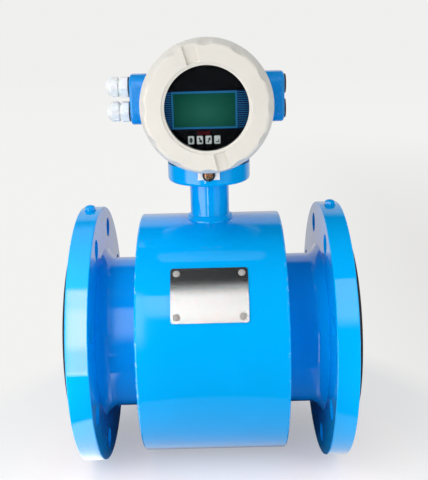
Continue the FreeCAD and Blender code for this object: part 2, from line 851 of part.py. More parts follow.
def make_converter_housing():
    foot = rod(seat_diameter / 2, UP * foot_z, UP, converter_axis_height)
    housing = make_barrel().fuse([make_entry_boss(), foot])
    chamber = rod(chamber_diameter / 2, head(FRONT, thread_end_distance + overrun), REAR,
                  2 * (thread_end_distance + overrun))
    bulkhead = rod(chamber_diameter / 2 + overrun, head(FRONT, bulkhead_front), REAR,
                   bulkhead_thickness)
    housing = housing.cut(chamber.cut(bulkhead))
    port = head(FRONT, bulkhead_front + overrun, 0, -bulkhead_port_drop)
    housing = housing.cut(rod(bulkhead_port_diameter / 2, port, REAR, bulkhead_thickness + 2 * overrun))
    for side in (-1, 1):
        for level in (-1, 1):
            start = Vector(side * (boss_face_x + overrun), 0, entry_z + level * entry_pitch / 2)
            reach = start.x * side - chamber_diameter / 2 + entry_breakthrough
            housing = housing.cut(rod(entry_diameter / 2, start, ALONG * -side, reach))
    foot_bore = rod(foot_bore_diameter / 2, UP * (foot_z - overrun), UP, foot_bore_length + overrun)
    housing = housing.cut(foot_bore.cut(bulkhead))
    for place in seat_screw_places():
        hole = rod(seat_screw_diameter / 2 + seat_clearance, place + UP * (foot_z - overrun), UP,
                   seat_screw_grip + 2 * overrun)
        well = rod(seat_screw_head_diameter / 2 + seat_screw_well_gap,
                   place + UP * (foot_z + seat_screw_grip), UP, foot_bore_length - seat_screw_grip)
        housing = housing.cut(hole).cut(well)
    return housing


# ---- Covers ----------------------------------------------------------------------------------
def cover_skirt(inner_end):
    """Inside of a cover from its end to inner_end, as profile points."""
    thread = cover_thread_diameter / 2 + running_clearance
    groove = thread + cover_ring_section + running_clearance
    groove_end = ring_station + cover_ring_section / 2 + running_clearance
    return [(inner_end, thread, 0), (groove_end, thread, 0), (groove_end, groove, 0),
            (cover_end_distance, groove, 0)]


def cover_outside():
    """Outside of a cover from its end to its face, as profile points."""
    rim = cover_rim_diameter / 2
    face = cover_face_diameter / 2
    rim_end = cover_end_distance + cover_rim_length
    return [(cover_end_distance, rim, cover_rim_edge_radius), (rim_end, rim, cover_shoulder_radius),
            (cover_face_distance, face, cover_face_edge_radius)]


def cover_scallops(side):
    """Grip hollows that fade out before the plain rim."""
    face = cover_face_diameter / 2
    rim_end = cover_end_distance + cover_rim_length
    half = scallop_width / 2
    radius = (half ** 2 + scallop_depth ** 2) / (2 * scallop_depth) + scallop_flattening
    front = head(side, cover_face_distance, 0, face - scallop_depth + radius)
    back = head(side, rim_end, 0, cover_rim_diameter / 2 + radius)
    slope = (back - front).normalize()
    cutter = rod(radius, front - slope * scallop_runout, slope,
                 (back - front).Length + 2 * scallop_runout)
    cutters = []
    for index in range(scallop_count):
        turned_cutter = cutter.copy()
        turned_cutter.rotate(head(side, 0), REAR, 360 / scallop_count * index)
        cutters.append(turned_cutter)
    return cutters


def cover_key_slots(side):
    """Slot across the face for a cover key, in two halves outside the window."""
    half = key_slot_width / 2
    low_station = cover_face_distance - key_slot_depth
    slots = []
    for end in (-1, 1):
        inner = key_slot_start_diameter / 2
        a = head(side, low_station, -half, end * inner)
        b = head(side, cover_face_distance + overrun, half, end * cover_rim_diameter)
        low = Vector(min(a.x, b.x), min(a.y, b.y), min(a.z, b.z))
        high = Vector(max(a.x, b.x), max(a.y, b.y), max(a.z, b.z))
        slot = box_between(low, high)
        slot.rotate(head(side, 0), FRONT, key_slot_tilt)
        slots.append(slot)
    return slots


def make_front_cover():
    opening = window_opening_diameter / 2
    pocket = window_diameter / 2 + seat_clearance
    step = window_ring_end
    profile = cover_skirt(step) + cover_outside() + [
        (cover_face_distance, opening + window_chamfer, 0),
        (cover_face_distance - window_chamfer, opening, 0),
        (lip_distance, opening, 0), (lip_distance, pocket, 0), (step, pocket, 0),
    ]
    cover = turned(profile, converter_point(FRONT), head(FRONT, 0), FRONT)
    return cover.cut(cover_scallops(FRONT) + cover_key_slots(FRONT))


def make_rear_cover():
    step = cover_face_distance - blind_cover_thickness
    profile = cover_skirt(step) + cover_outside() + [(cover_face_distance, 0, 0), (step, 0, 0)]
    cover = turned(profile, converter_point(REAR), head(REAR, 0), REAR)
    return cover.cut(cover_scallops(REAR) + cover_key_slots(REAR))


def make_cover_window():
    return rod(window_diameter / 2, head(FRONT, window_back_distance), FRONT, window_thickness)


def make_window_ring():
    """Threaded ring behind the window, with two notches for its spanner."""
    start = head(FRONT, window_ring_end)
    ring = sleeve(window_diameter / 2, window_ring_bore_diameter / 2, start, FRONT, window_ring_length)
    notch = panel_rectangle(window_ring_end + window_ring_notch_depth,
                            window_ring_notch_depth + overrun,
                            window_diameter + 2 * overrun, window_ring_notch, 0, 0)
    return ring.cut(notch)


def make_cover_ring(side):
    """Sealing ring between a cover and the shoulder of the housing."""
    radius = cover_thread_diameter / 2 + running_clearance + cover_ring_section / 2
    return Part.makeTorus(radius, cover_ring_section / 2, head(side, ring_station), side)


# ---- Display and boards ----------------------------------------------------------------------
def button_places():
    places = []
    for index in range(button_count):
        places.append(button_offset_x + (index - (button_count - 1) / 2) * button_pitch)
    return places


def make_display_panel():
    panel = rod(panel_diameter / 2, head(FRONT, panel_distance), REAR, panel_thickness)
    window = panel_rectangle(panel_distance + overrun, panel_thickness + 2 * overrun,
                             lcd_glass_width + 2 * seat_clearance, lcd_glass_height + 2 * seat_clearance,
                             lcd_offset_x, lcd_offset_z)
    lamp = panel_rectangle(panel_distance + overrun, panel_thickness + 2 * overrun,
                           indicator_width + 2 * seat_clearance, indicator_height + 2 * seat_clearance,
                           indicator_offset_x, indicator_offset_z)
    panel = panel.cut([window, lamp])
    for across in button_places():
        opening = panel_rectangle(panel_distance + overrun, panel_thickness + 2 * overrun,
                                  button_width + 2 * running_clearance,
                                  button_height + 2 * running_clearance,
                                  across, button_offset_z, button_corner_radius + running_clearance)
        panel = panel.cut(opening)
    return panel


def make_lcd_module():
    """Display module with its glass standing up into the panel's window."""
    depth = panel_back_distance - display_board_distance
    body = panel_rectangle(panel_back_distance, depth, lcd_body_width, lcd_body_height,
                           lcd_offset_x, lcd_offset_z)
    glass = panel_rectangle(panel_distance - lcd_glass_recess, depth, lcd_glass_width, lcd_glass_height,
                            lcd_offset_x, lcd_offset_z)
    return body.fuse(glass)


def make_indicator_window():
    return panel_rectangle(panel_distance, panel_thickness, indicator_width, indicator_height,
                           indicator_offset_x, indicator_offset_z)


def make_button(index):
    """Push button with the flange that keeps it behind the panel."""
    across = button_places()[index]
    flange_front = panel_back_distance - running_clearance
    length = panel_distance + button_stand - flange_front + button_flange_thickness
    cap = panel_rectangle(panel_distance + button_stand, length, button_width, button_height,
                          across, button_offset_z, button_corner_radius)
    flange = panel_rectangle(flange_front, button_flange_thickness, button_width + 2 * button_flange,
                             button_height + 2 * button_flange, across, button_offset_z)
    return cap.fuse(flange)


def make_key_switches():
    """Small switches on the display board, one under each button."""
    flange_back = panel_back_distance - running_clearance - button_flange_thickness
    top = flange_back - button_travel - running_clearance
    switches = []
    for across in button_places():
        switches.append(panel_rectangle(top, top - display_board_distance, switch_side, switch_side,
                                        across, button_offset_z))
    return group(switches)


def make_display_board():
    return rod(display_board_diameter / 2, head(FRONT, display_board_distance), REAR, board_thickness)


def make_main_board():
    """Measuring board with its transformer and plug sockets."""
    corners = []
    half_width = main_board_width / 2
    half_height = main_board_height / 2
    cut = main_board_corner
    outline = ((-half_width + cut, -half_height), (half_width - cut, -half_height),
               (half_width, -half_height + cut), (half_width, half_height - cut),
               (half_width - cut, half_height), (-half_width + cut, half_height),
               (-half_width, half_height - cut), (-half_width, -half_height + cut))
    for x, z in outline:
        corners.append((head(FRONT, main_board_distance, x, z), 0))
    board = prism(corners, REAR * board_thickness)
    transformer = panel_rectangle(main_board_distance + transformer_height, transformer_height,
                                  transformer_side, transformer_side, transformer_offset_x,
                                  transformer_offset_z, transformer_edge_radius)
    sockets = [transformer]
    for rise in (-half_height / 2, half_height / 2):
        sockets.append(panel_rectangle(main_board_distance + socket_depth, socket_depth,
                                       socket_width, socket_height, socket_offset_x, rise))
    return board.fuse(sockets)


def make_board_spacers():
    """Hexagonal spacers from the bulkhead to each board and to the panel."""
    stages = (
        (bulkhead_front, main_board_distance - board_thickness),
        (main_board_distance, display_board_distance - board_thickness),
        (display_board_distance, panel_back_distance),
    )
    spacers = []
    for across in (-spacer_offset_x, spacer_offset_x):
        for rise in (-spacer_offset_z, spacer_offset_z):
            for start, end in stages:
                spacers.append(hexagon(spacer_across_flats, head(FRONT, start, across, rise),
                                       FRONT, end - start))
    return group(spacers)


# ---- Terminal block --------------------------------------------------------------------------
def terminal_way_places():
    places = []
    for index in range(terminal_ways):
        places.append((index - (terminal_ways - 1) / 2) * terminal_way_pitch)
    return places


def make_terminal_block():
    """Stepped block on the bulkhead, with a wire funnel and a screw well for each way."""
    half = terminal_block_width / 2
    back = -bulkhead_back
    front = back + terminal_block_depth
    low = terminal_block_bottom_z
    high = low + terminal_block_height
    corners = []
    outline = ((back, low), (front, low), (front, high - terminal_step_height),
               (front - terminal_step_depth, high - terminal_step_height + terminal_step_slope),
               (front - terminal_step_depth, high), (back, high))
    for y, z in outline:
        corners.append((Vector(-half, y, z), 0))
    block = prism(corners, ALONG * terminal_block_width)
    cutters = []
    for x in terminal_way_places():
        cutters.append(rod(terminal_wire_diameter / 2,
                           Vector(x, front + overrun, low + terminal_wire_height), FRONT,
                           terminal_wire_depth + overrun))
        cutters.append(rod(clamp_screw_diameter / 2 + seat_clearance,
                           Vector(x, front - terminal_step_depth / 2, low + terminal_well_floor), UP,
                           terminal_block_height))
    return block.cut(cutters)


def make_clamp_screws():
    """Slotted screws in the wells of the terminal block."""
    screws = []
    y = -bulkhead_back + terminal_block_depth - terminal_step_depth / 2
    low = terminal_block_bottom_z + terminal_well_floor
    for x in terminal_way_places():
        foot = Vector(x, y, low + seat_clearance)
        screw = rod(clamp_screw_diameter / 2, foot, UP, clamp_screw_length)
        slot = box_between(foot + Vector(-clamp_slot_width / 2, -clamp_screw_diameter,
                                         clamp_screw_length - clamp_slot_depth),
                           foot + Vector(clamp_slot_width / 2, clamp_screw_diameter,
                                         clamp_screw_length + overrun))
        screws.append(screw.cut(slot))
    return group(screws)


# ---- Cable glands and plugs ------------------------------------------------------------------
def entry_point(level):
    """Profile points about a left-hand cable entry, measured out from the middle."""
    def point_at(station, radius):
        return Vector(-station, radius, entry_z + level * entry_pitch / 2)
    return point_at


def entry_axis_point(level, station, side=-1):
    return Vector(side * station, 0, entry_z + level * entry_pitch / 2)


def make_gland_body(level):
    shank = entry_diameter / 2 - seat_clearance
    thread = gland_thread_diameter / 2
    insert_seat = insert_diameter / 2 + running_clearance
    through = gland_bore_diameter / 2
    shoulder = insert_end_x - insert_length - running_clearance
    shank_start = gland_face_x - gland_shank_length - gland_gasket_thickness
    profile = (
        (shank_start, through, 0), (shank_start, shank, gland_shank_edge_radius),
        (gland_hex_end_x - gland_hex_root, shank, 0), (gland_hex_end_x - gland_hex_root, thread, 0),
        (gland_thread_end_x, thread, gland_thread_edge_radius),
        (gland_thread_end_x, insert_seat, 0),
        (shoulder, insert_seat, 0), (shoulder, through, 0),
    )
    body = turned(profile, entry_point(level), entry_axis_point(level, 0), ALONG)
    flats = hexagon(gland_across_flats, entry_axis_point(level, gland_face_x), ALONG * -1,
                    gland_hex_length)
    flats = flats.common(rod(gland_corner_diameter / 2, entry_axis_point(level, gland_face_x),
                             ALONG * -1, gland_hex_length))
    flats = flats.cut(rod(shank - gland_hex_root, entry_axis_point(level, 0), ALONG * -1, boss_span))
    return body.fuse(flats)


def make_gland_insert(level):
    start = entry_axis_point(level, insert_end_x - insert_length)
    return sleeve(insert_diameter / 2, insert_hole_diameter / 2, start, ALONG * -1, insert_length)


def make_gland_nut(level):
    """Domed clamping nut with grip ribs."""
    thread = gland_thread_diameter / 2 + running_clearance
    outer = gland_nut_diameter / 2 - gland_nut_rib_height
    opening = gland_nut_opening_diameter / 2
    inside_end = gland_nut_end_x - gland_nut_wall
    profile = (
        (gland_nut_start_x, thread, 0), (gland_nut_start_x, outer, gland_nut_edge_radius),
        (gland_nut_end_x - gland_nut_dome_length, outer, gland_nut_dome_radius),
        (gland_nut_end_x, opening + gland_nut_nose_width, gland_nut_nose_radius),
        (gland_nut_end_x, opening, 0), (inside_end, opening, 0), (inside_end, thread, 0),
    )
    nut = turned(profile, entry_point(level), entry_axis_point(level, 0), ALONG)
    ribs = []
    for index in range(gland_nut_rib_count):
        low = entry_axis_point(level, gland_nut_end_x - gland_nut_rib_end)
        length = gland_nut_length - gland_nut_rib_start - gland_nut_rib_end
        half = gland_nut_rib_width / 2
        rib = box_between(low + Vector(0, -half, outer - gland_nut_rib_height),
                          low + Vector(length, half, gland_nut_diameter / 2))
        rib.rotate(entry_axis_point(level, 0), ALONG, 360 / gland_nut_rib_count * index)
        ribs.append(rib)
    return nut.fuse(ribs)


def make_gland_gaskets():
    gaskets = []
    for level in (-1, 1):
        gaskets.append(sleeve(gland_gasket_diameter / 2, entry_diameter / 2,
                              entry_axis_point(level, boss_face_x), ALONG * -1, gland_gasket_thickness))
    return group(gaskets)


def make_blanking_plug(level):
    """Low plug in a right-hand entry, with a hexagon socket."""
    face = entry_axis_point(level, boss_face_x, 1)
    cap = rod(plug_head_diameter / 2, face, ALONG, plug_head_thickness)
    rim = [edge for edge in cap.Edges
           if edge.BoundBox.XLength < 0.01 and edge.BoundBox.XMin > face.x + 1]
    cap = cap.makeFillet(plug_edge_radius, rim)
    shank = rod(entry_diameter / 2 - seat_clearance, face, ALONG * -1, plug_shank_length)
    socket = hexagon(plug_socket_across_flats, face + ALONG * (plug_head_thickness + overrun),
                     ALONG * -1, plug_socket_depth + overrun)
    return cap.fuse(shank).cut(socket)


# ---- Every piece by name ---------------------------------------------------------------------
PIECES = {
    "measuring_tube": make_measuring_tube(),
    "tube_liner": make_tube_liner(),
    "inlet_liner_face": make_liner_face(-1),
    "outlet_liner_face": make_liner_face(1),
    "inlet_flange": make_flange(-1),
    "outlet_flange": make_flange(1),
    "flange_earth_bolts": make_earth_bolts(),
    "flange_earth_washers": make_earth_washers(),
    "coil_housing_shell": make_drum_shell(),
    "inlet_end_plate": make_end_plate(-1),
    "outlet_end_plate": make_end_plate(1),
    "upper_pole_shoe": make_pole_shoe(1),
    "lower_pole_shoe": make_pole_shoe(-1),
    "upper_coil": make_coil(1),
    "lower_coil": make_coil(-1),
    "magnetic_yoke": make_yoke(),
    "front_electrode": make_electrode(FRONT),
    "rear_electrode": make_electrode(REAR),
    "electrode_bushes": make_electrode_bushes(),
    "electrode_nuts": make_electrode_nuts(),
    "nameplate": make_nameplate(),
    "nameplate_rivets": make_nameplate_rivets(),
    "neck_pipe": make_neck_pipe(),
    "converter_seat": make_converter_seat(),
    "seat_gasket": make_seat_gasket(),
    "seat_screws": make_seat_screws(),
    "sensor_lead": make_sensor_lead(),
    "earth_terminal_plate": make_earth_terminal_plate(),
    "earth_spring_washer": make_earth_spring_washer(),
    "earth_terminal_screw": make_earth_terminal_screw(),
    "converter_housing": make_converter_housing(),
    "front_cover": make_front_cover(),
    "cover_window": make_cover_window(),
    "window_retaining_ring": make_window_ring(),
    "front_cover_ring": make_cover_ring(FRONT),
    "rear_cover": make_rear_cover(),
    "rear_cover_ring": make_cover_ring(REAR),
    "display_panel": make_display_panel(),
    "lcd_module": make_lcd_module(),
    "indicator_window": make_indicator_window(),
    "function_button": make_button(0),
    "down_button": make_button(1),
    "up_button": make_button(2),
    "enter_button": make_button(3),
    "button_switches": make_key_switches(),
    "display_board": make_display_board(),
    "main_board": make_main_board(),
    "board_spacers": make_board_spacers(),
    "terminal_block": make_terminal_block(),
    "terminal_clamp_screws": make_clamp_screws(),
    "upper_gland_body": make_gland_body(1),
    "upper_gland_insert": make_gland_insert(1),
    "upper_gland_nut": make_gland_nut(1),
    "lower_gland_body": make_gland_body(-1),
    "lower_gland_insert": make_gland_insert(-1),
    "lower_gland_nut": make_gland_nut(-1),
    "gland_gaskets": make_gland_gaskets(),
    "upper_blanking_plug": make_blanking_plug(1),
    "lower_blanking_plug": make_blanking_plug(-1),
}

os.makedirs("parts", exist_ok=True)
for name, shape in PIECES.items():
    shape.exportStep("parts/" + name + ".step")
print(len(PIECES), "pieces written")
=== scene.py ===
import math

import bmesh
import bpy
from bpy.props import FloatProperty, FloatVectorProperty, IntProperty, PointerProperty
from mathutils import Matrix, Vector, noise


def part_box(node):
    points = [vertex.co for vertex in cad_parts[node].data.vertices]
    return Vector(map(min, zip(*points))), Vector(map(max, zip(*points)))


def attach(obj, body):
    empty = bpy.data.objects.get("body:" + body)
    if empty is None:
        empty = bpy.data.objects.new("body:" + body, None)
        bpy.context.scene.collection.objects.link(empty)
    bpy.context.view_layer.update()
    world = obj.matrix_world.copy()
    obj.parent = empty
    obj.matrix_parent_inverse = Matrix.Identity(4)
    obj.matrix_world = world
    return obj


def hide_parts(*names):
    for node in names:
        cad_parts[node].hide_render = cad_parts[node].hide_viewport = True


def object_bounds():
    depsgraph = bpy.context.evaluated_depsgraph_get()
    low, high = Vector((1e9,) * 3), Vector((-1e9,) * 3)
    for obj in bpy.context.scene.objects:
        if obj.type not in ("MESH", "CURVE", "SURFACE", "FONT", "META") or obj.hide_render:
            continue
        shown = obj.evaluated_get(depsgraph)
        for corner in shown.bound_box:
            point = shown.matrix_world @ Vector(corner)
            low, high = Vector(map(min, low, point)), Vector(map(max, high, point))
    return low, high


bl_info = {
    "name": "Electromagnetic Flow Meter",
    "version": (1, 0, 0),
    "blender": (4, 5, 0),
    "location": "3D View > Sidebar > Flow Meter",
    "description": "Dresses a flanged flow meter with its enamel, castings, display and glands",
    "category": "Object",
}

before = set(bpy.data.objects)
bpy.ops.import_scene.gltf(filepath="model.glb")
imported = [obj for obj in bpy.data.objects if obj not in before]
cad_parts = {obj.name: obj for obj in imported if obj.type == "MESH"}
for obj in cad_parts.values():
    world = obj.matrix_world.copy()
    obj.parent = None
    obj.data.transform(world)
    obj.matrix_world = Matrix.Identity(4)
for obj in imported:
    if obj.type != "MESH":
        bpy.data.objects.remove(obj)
CAD_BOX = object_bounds()

# ---- Places read from the frame, in metres ---------------------------------------------------
DRUM_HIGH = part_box("coil_housing_shell")[1]
DRUM_END = DRUM_HIGH.x
DRUM_RADIUS = DRUM_HIGH.z
TUBE_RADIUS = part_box("measuring_tube")[1].z

# The flange's box also holds the fillet weld at its back.
FLANGE_FILLET = 0.008
FLANGE_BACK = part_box("outlet_flange")[0].x + FLANGE_FILLET

COVER_LOW, COVER_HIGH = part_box("front_cover")
COVER_RADIUS = (COVER_HIGH.z - COVER_LOW.z) / 2
COVER_FACE = -COVER_LOW.y
COVER_END = -COVER_HIGH.y
HEAD_Z = (COVER_LOW.z + COVER_HIGH.z) / 2

PANEL_FACE = -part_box("display_panel")[0].y
LCD_LOW, LCD_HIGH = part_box("lcd_module")
FLOOR_Z = CAD_BOX[0].z

ROUND_STEPS = 256
COVER_STEPS = 840

MILLIMETRE = 0.001


# ---- What a user would change -----------------------------------------------------------------
def colour(name, description, value):
    """A colour setting for the sidebar."""
    return FloatVectorProperty(name=name, description=description, subtype="COLOR", size=3,
                               min=0.0, max=1.0, default=value)


def length(name, description, value):
    """A length setting for the sidebar, in metres."""
    return FloatProperty(name=name, description=description, subtype="DISTANCE", unit="LENGTH",
                         min=0.0, default=value)


def share(name, description, value):
    """A setting from 0 to 1."""
    return FloatProperty(name=name, description=description, subtype="FACTOR", min=0.0, max=1.0,
                         default=value)


class MeterColours(bpy.types.PropertyGroup):
    """Colours of the painted, moulded and printed surfaces."""
    sensor: colour("Sensor enamel", "Gloss enamel on the tube, flanges, drum, neck and seat",
                   (0.0, 0.42, 0.95))
    converter: colour("Converter paint", "Deep blue powder coat on the housing", (0.0, 0.30, 0.80))
    cover: colour("Cover paint", "Cream powder coat on both covers", (0.765, 0.745, 0.68))
    gland: colour("Gland nylon", "White nylon of the cable glands", (0.97, 0.955, 0.93))
    rubber: colour("Rubber", "Liner, gaskets and rings", (0.012, 0.013, 0.016))
    panel: colour("Panel film", "Black film behind the window", (0.004, 0.005, 0.008))
    print_light: colour("Print, light", "Frame and stripes printed beside the display",
                        (0.02, 0.20, 0.46))
    print_dark: colour("Print, dark", "Ground of the printed stripes", (0.004, 0.02, 0.09))
    display: colour("Display green", "Blank liquid-crystal display", (0.001, 0.135, 0.095))
    indicator: colour("Indicator red", "Window of the infrared receiver", (0.07, 0.002, 0.006))
    button: colour("Button grey", "Faces of the four buttons", (0.86, 0.92, 0.93))
    plate: colour("Nameplate steel", "Brushed sheet of the nameplate", (0.76, 0.90, 0.97))
    steel: colour("Stainless steel", "Rivets, electrodes and screws", (0.70, 0.68, 0.65))


class MeterFinish(bpy.types.PropertyGroup):
    """How glossy and how even the finishes are."""
    enamel_roughness: share("Enamel roughness", "Roughness of the sensor enamel", 0.16)
    enamel_ripple: share("Enamel ripple", "Unevenness left by the spray gun", 0.10)
    converter_peel: share("Orange peel", "Texture of the converter's powder coat", 0.55)
    cover_roughness: share("Cover roughness", "Roughness of the cream covers", 0.38)
    edge_scuffs: share("Edge scuffs", "Pale scuffs along the drum's rims", 0.6)


class MeterSizes(bpy.types.PropertyGroup):
    """Sizes that belong to the finish, not to the frame."""
    flange_weld: length("Flange weld", "Leg of the weld between the tube and each flange", 0.0115)
    plate_weld: length("Plate weld", "Leg of the weld between the tube and each end plate", 0.0030)
    drum_weld: length("Drum weld", "Bead round each rim of the drum", 0.0014)
    neck_radius: length("Neck radius", "Outside of the neck pipe", 0.0210)
    neck_weld: length("Neck weld", "Bead round the foot of the neck", 0.0026)
    face_radius: length("Cover face radius", "Radius where the face meets the side", 0.0610)
    face_rounding: length("Cover face rounding", "Rounding of the face's edge", 0.0038)
    rim_width: length("Cover rim width", "Plain rim behind the scallops", 0.0125)
    rear_rim: length("Rear rim radius", "Plain rim of the rear cover", 0.0628)
    scallop_width: length("Scallop width", "Width of a grip hollow at the face", 0.0145)
    scallop_depth: length("Scallop depth", "Depth of a grip hollow at the face", 0.0026)
    scallops: IntProperty(name="Scallops", description="Grip hollows round a cover", min=3, default=12)
    window_radius: length("Window radius", "Clear opening of the front cover", 0.0407)
    slot_width: length("Key slot width", "Slot across the face for a cover key", 0.0114)
    slot_depth: length("Key slot depth", "Depth of the key slot", 0.0030)
    slot_start: length("Key slot start", "Where the slot begins, from the middle", 0.0442)
    slot_tilt: FloatProperty(name="Key slot tilt", description="Lean of the slot from upright",
                             subtype="ANGLE", unit="ROTATION", default=math.radians(15))
    stripe_pitch: length("Stripe pitch", "Pitch of the printed stripes", 0.00212)


# ---- Meshes ------------------------------------------------------------------------------------
def settings():
    """The scene, which holds the groups of settings."""
    return bpy.context.scene


def rounded(corners, steps):
    """Closed outline from (a, b, radius) corners, each rounded by an arc of that radius."""
    points = []
    count = len(corners)
    for index, (a, b, radius) in enumerate(corners):
        here = Vector((a, b))
        if not radius:
            points.append(here)
            continue
        before = (Vector(corners[index - 1][:2]) - here).normalized()
        after = (Vector(corners[(index + 1) % count][:2]) - here).normalized()
        half = before.angle(after) / 2
        reach = radius / math.tan(half)
        centre = here + (before + after).normalized() * (radius / math.sin(half))
        first = here + before * reach - centre
        last = here + after * reach - centre
        turn = first.angle_signed(last)
        for step in range(steps + 1):
            swing = -turn * step / steps
            cosine, sine = math.cos(swing), math.sin(swing)
            points.append(centre + Vector((first.x * cosine - first.y * sine,
                                           first.x * sine + first.y * cosine)))
    return points


def subdivided(points, longest):
    """Closed outline with no run longer than a length."""
    result = []
    for index, point in enumerate(points):
        following = points[(index + 1) % len(points)]
        pieces = max(1, math.ceil((following - point).length / longest))
        for piece in range(pieces):
            result.append(point.lerp(following, piece / pieces))
    return result


def ring_frame(axis):
    """An axis of length 1 and two directions square to it."""
    axis = Vector(axis).normalized()
    side = Vector((0, 0, 1)) if abs(axis.z) < 0.9 else Vector((1, 0, 0))
    first = (side - axis * side.dot(axis)).normalized()
    return axis, first, axis.cross(first)


def close_rings(bm, rings):
    """Faces between neighbouring rings of points, both ways round."""
    for index, here in enumerate(rings):
        there = rings[(index + 1) % len(rings)]
        for step in range(len(here)):
            following = (step + 1) % len(here)
            bm.faces.new((here[step], here[following], there[following], there[step]))


def lathe(bm, profile, centre, axis, steps, shape):
    """Turns a closed outline of (station, radius) points about an axis; shape moves each point."""
    axis, first, second = ring_frame(axis)
    centre = Vector(centre)
    rings = []
    for step in range(steps):
        angle = 2 * math.pi * step / steps
        outward = first * math.cos(angle) + second * math.sin(angle)
        ring = []
        for point in profile:
            station, radius = shape(*point, angle)
            ring.append(bm.verts.new(centre + axis * station + outward * radius))
        rings.append(ring)
    close_rings(bm, rings)
    return bm


def tidy_mesh(bm, sharp_angle):
    """Welds doubles, faces outward and keeps only real corners sharp."""
    bmesh.ops.remove_doubles(bm, verts=bm.verts, dist=1e-7)
    bmesh.ops.recalc_face_normals(bm, faces=bm.faces)
    for face in bm.faces:
        face.smooth = True
    limit = math.radians(sharp_angle)
    for edge in bm.edges:
        edge.smooth = len(edge.link_faces) == 2 and edge.calc_face_angle(0.0) < limit


def piece(name, bm, body, slot, material, sharp_angle, stands_for=()):
    """Object from a mesh, riding on a body and taking the material given; the slot argument is not used.
    """
    tidy_mesh(bm, sharp_angle)
    mesh = bpy.data.meshes.new(name)
    bm.to_mesh(mesh)
    bm.free()
    mesh.materials.append(material)
    made = bpy.data.objects.new(name, mesh)
    bpy.context.scene.collection.objects.link(made)
    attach(made, body)
    if stands_for:
        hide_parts(*stands_for)
    return made


def dress(node, material):
    """Gives a frame node its finish."""
    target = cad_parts[node]
    target.data.materials.clear()
    target.data.materials.append(material)


def bead(bm, path, sides, size, ripple, seed, steps=8):
    """Weld bead along a closed path; each point has two directions to bulge between."""
    wave_height = 0.10
    unevenness = 0.16
    rings = []
    for index, point in enumerate(path):
        up, out = sides[index]
        wave = math.sin(index * ripple)
        uneven = noise.noise(Vector((index * 0.11, seed, 0.0)))
        reach = size * (1.0 + wave_height * wave + unevenness * uneven)
        ring = []
        for step in range(steps):
            turn = 2 * math.pi * step / steps
            ring.append(bm.verts.new(point + (up * math.cos(turn) + out * math.sin(turn)) * reach))
        rings.append(ring)
    close_rings(bm, rings)
    return bm


# ---- Materials ---------------------------------------------------------------------------------
class Nodes:
    """Short ways to add and join the nodes of one tree."""

    def __init__(self, tree):
        self.tree = tree

    def add(self, kind, **values):
        """New node with its own settings given by name."""
        node = self.tree.nodes.new(kind)
        for key, value in values.items():
            setattr(node, key, value)
        return node

    def link(self, source, target):
        """Joins an output to an input."""
        self.tree.links.new(source, target)

    def feed(self, value, socket):
        """Gives an input a link, a colour or a number."""
        if isinstance(value, bpy.types.NodeSocket):
            self.link(value, socket)
        elif isinstance(value, (tuple, list)):
            socket.default_value = (*value[:3], 1.0)
        else:
            socket.default_value = value

    def maths(self, operation, first, second=None):
        """Result of a sum with one or two values."""
        node = self.add("ShaderNodeMath", operation=operation)
        for socket, value in zip(node.inputs, (first, second)):
            if value is not None:
                self.feed(value, socket)
        return node.outputs[0]

    def ramp(self, source, start, end, low=0.0, high=1.0, kind="SMOOTHSTEP"):
        """Value that eases from low to high while the source goes from start to end."""
        node = self.add("ShaderNodeMapRange", interpolation_type=kind)
        for name, value in (("From Min", start), ("From Max", end), ("To Min", low), ("To Max", high)):
            node.inputs[name].default_value = value
        self.link(source, node.inputs["Value"])
        return node.outputs["Result"]

    def spread(self, source, low, high, start=0.3, end=0.7):
        """The same in a straight line."""
        return self.ramp(source, start, end, low, high, "LINEAR")

    def shader(self, kind, **sockets):
        """Output of a plain shader whose inputs are given by name."""
        node = self.add(kind)
        for name, value in sockets.items():
            self.feed(value, node.inputs[name])
        return node.outputs[0]

    def mix_shader(self, factor, first, second):
        """One shader where the factor is 0 and the other where it is 1."""
        node = self.add("ShaderNodeMixShader")
        for socket, value in zip(node.inputs, (factor, first, second)):
            self.link(value, socket)
        return node.outputs[0]

    def add_shader(self, first, second):
        """Two shaders on top of each other."""
        node = self.add("ShaderNodeAddShader")
        self.link(first, node.inputs[0])
        self.link(second, node.inputs[1])
        return node.outputs[0]


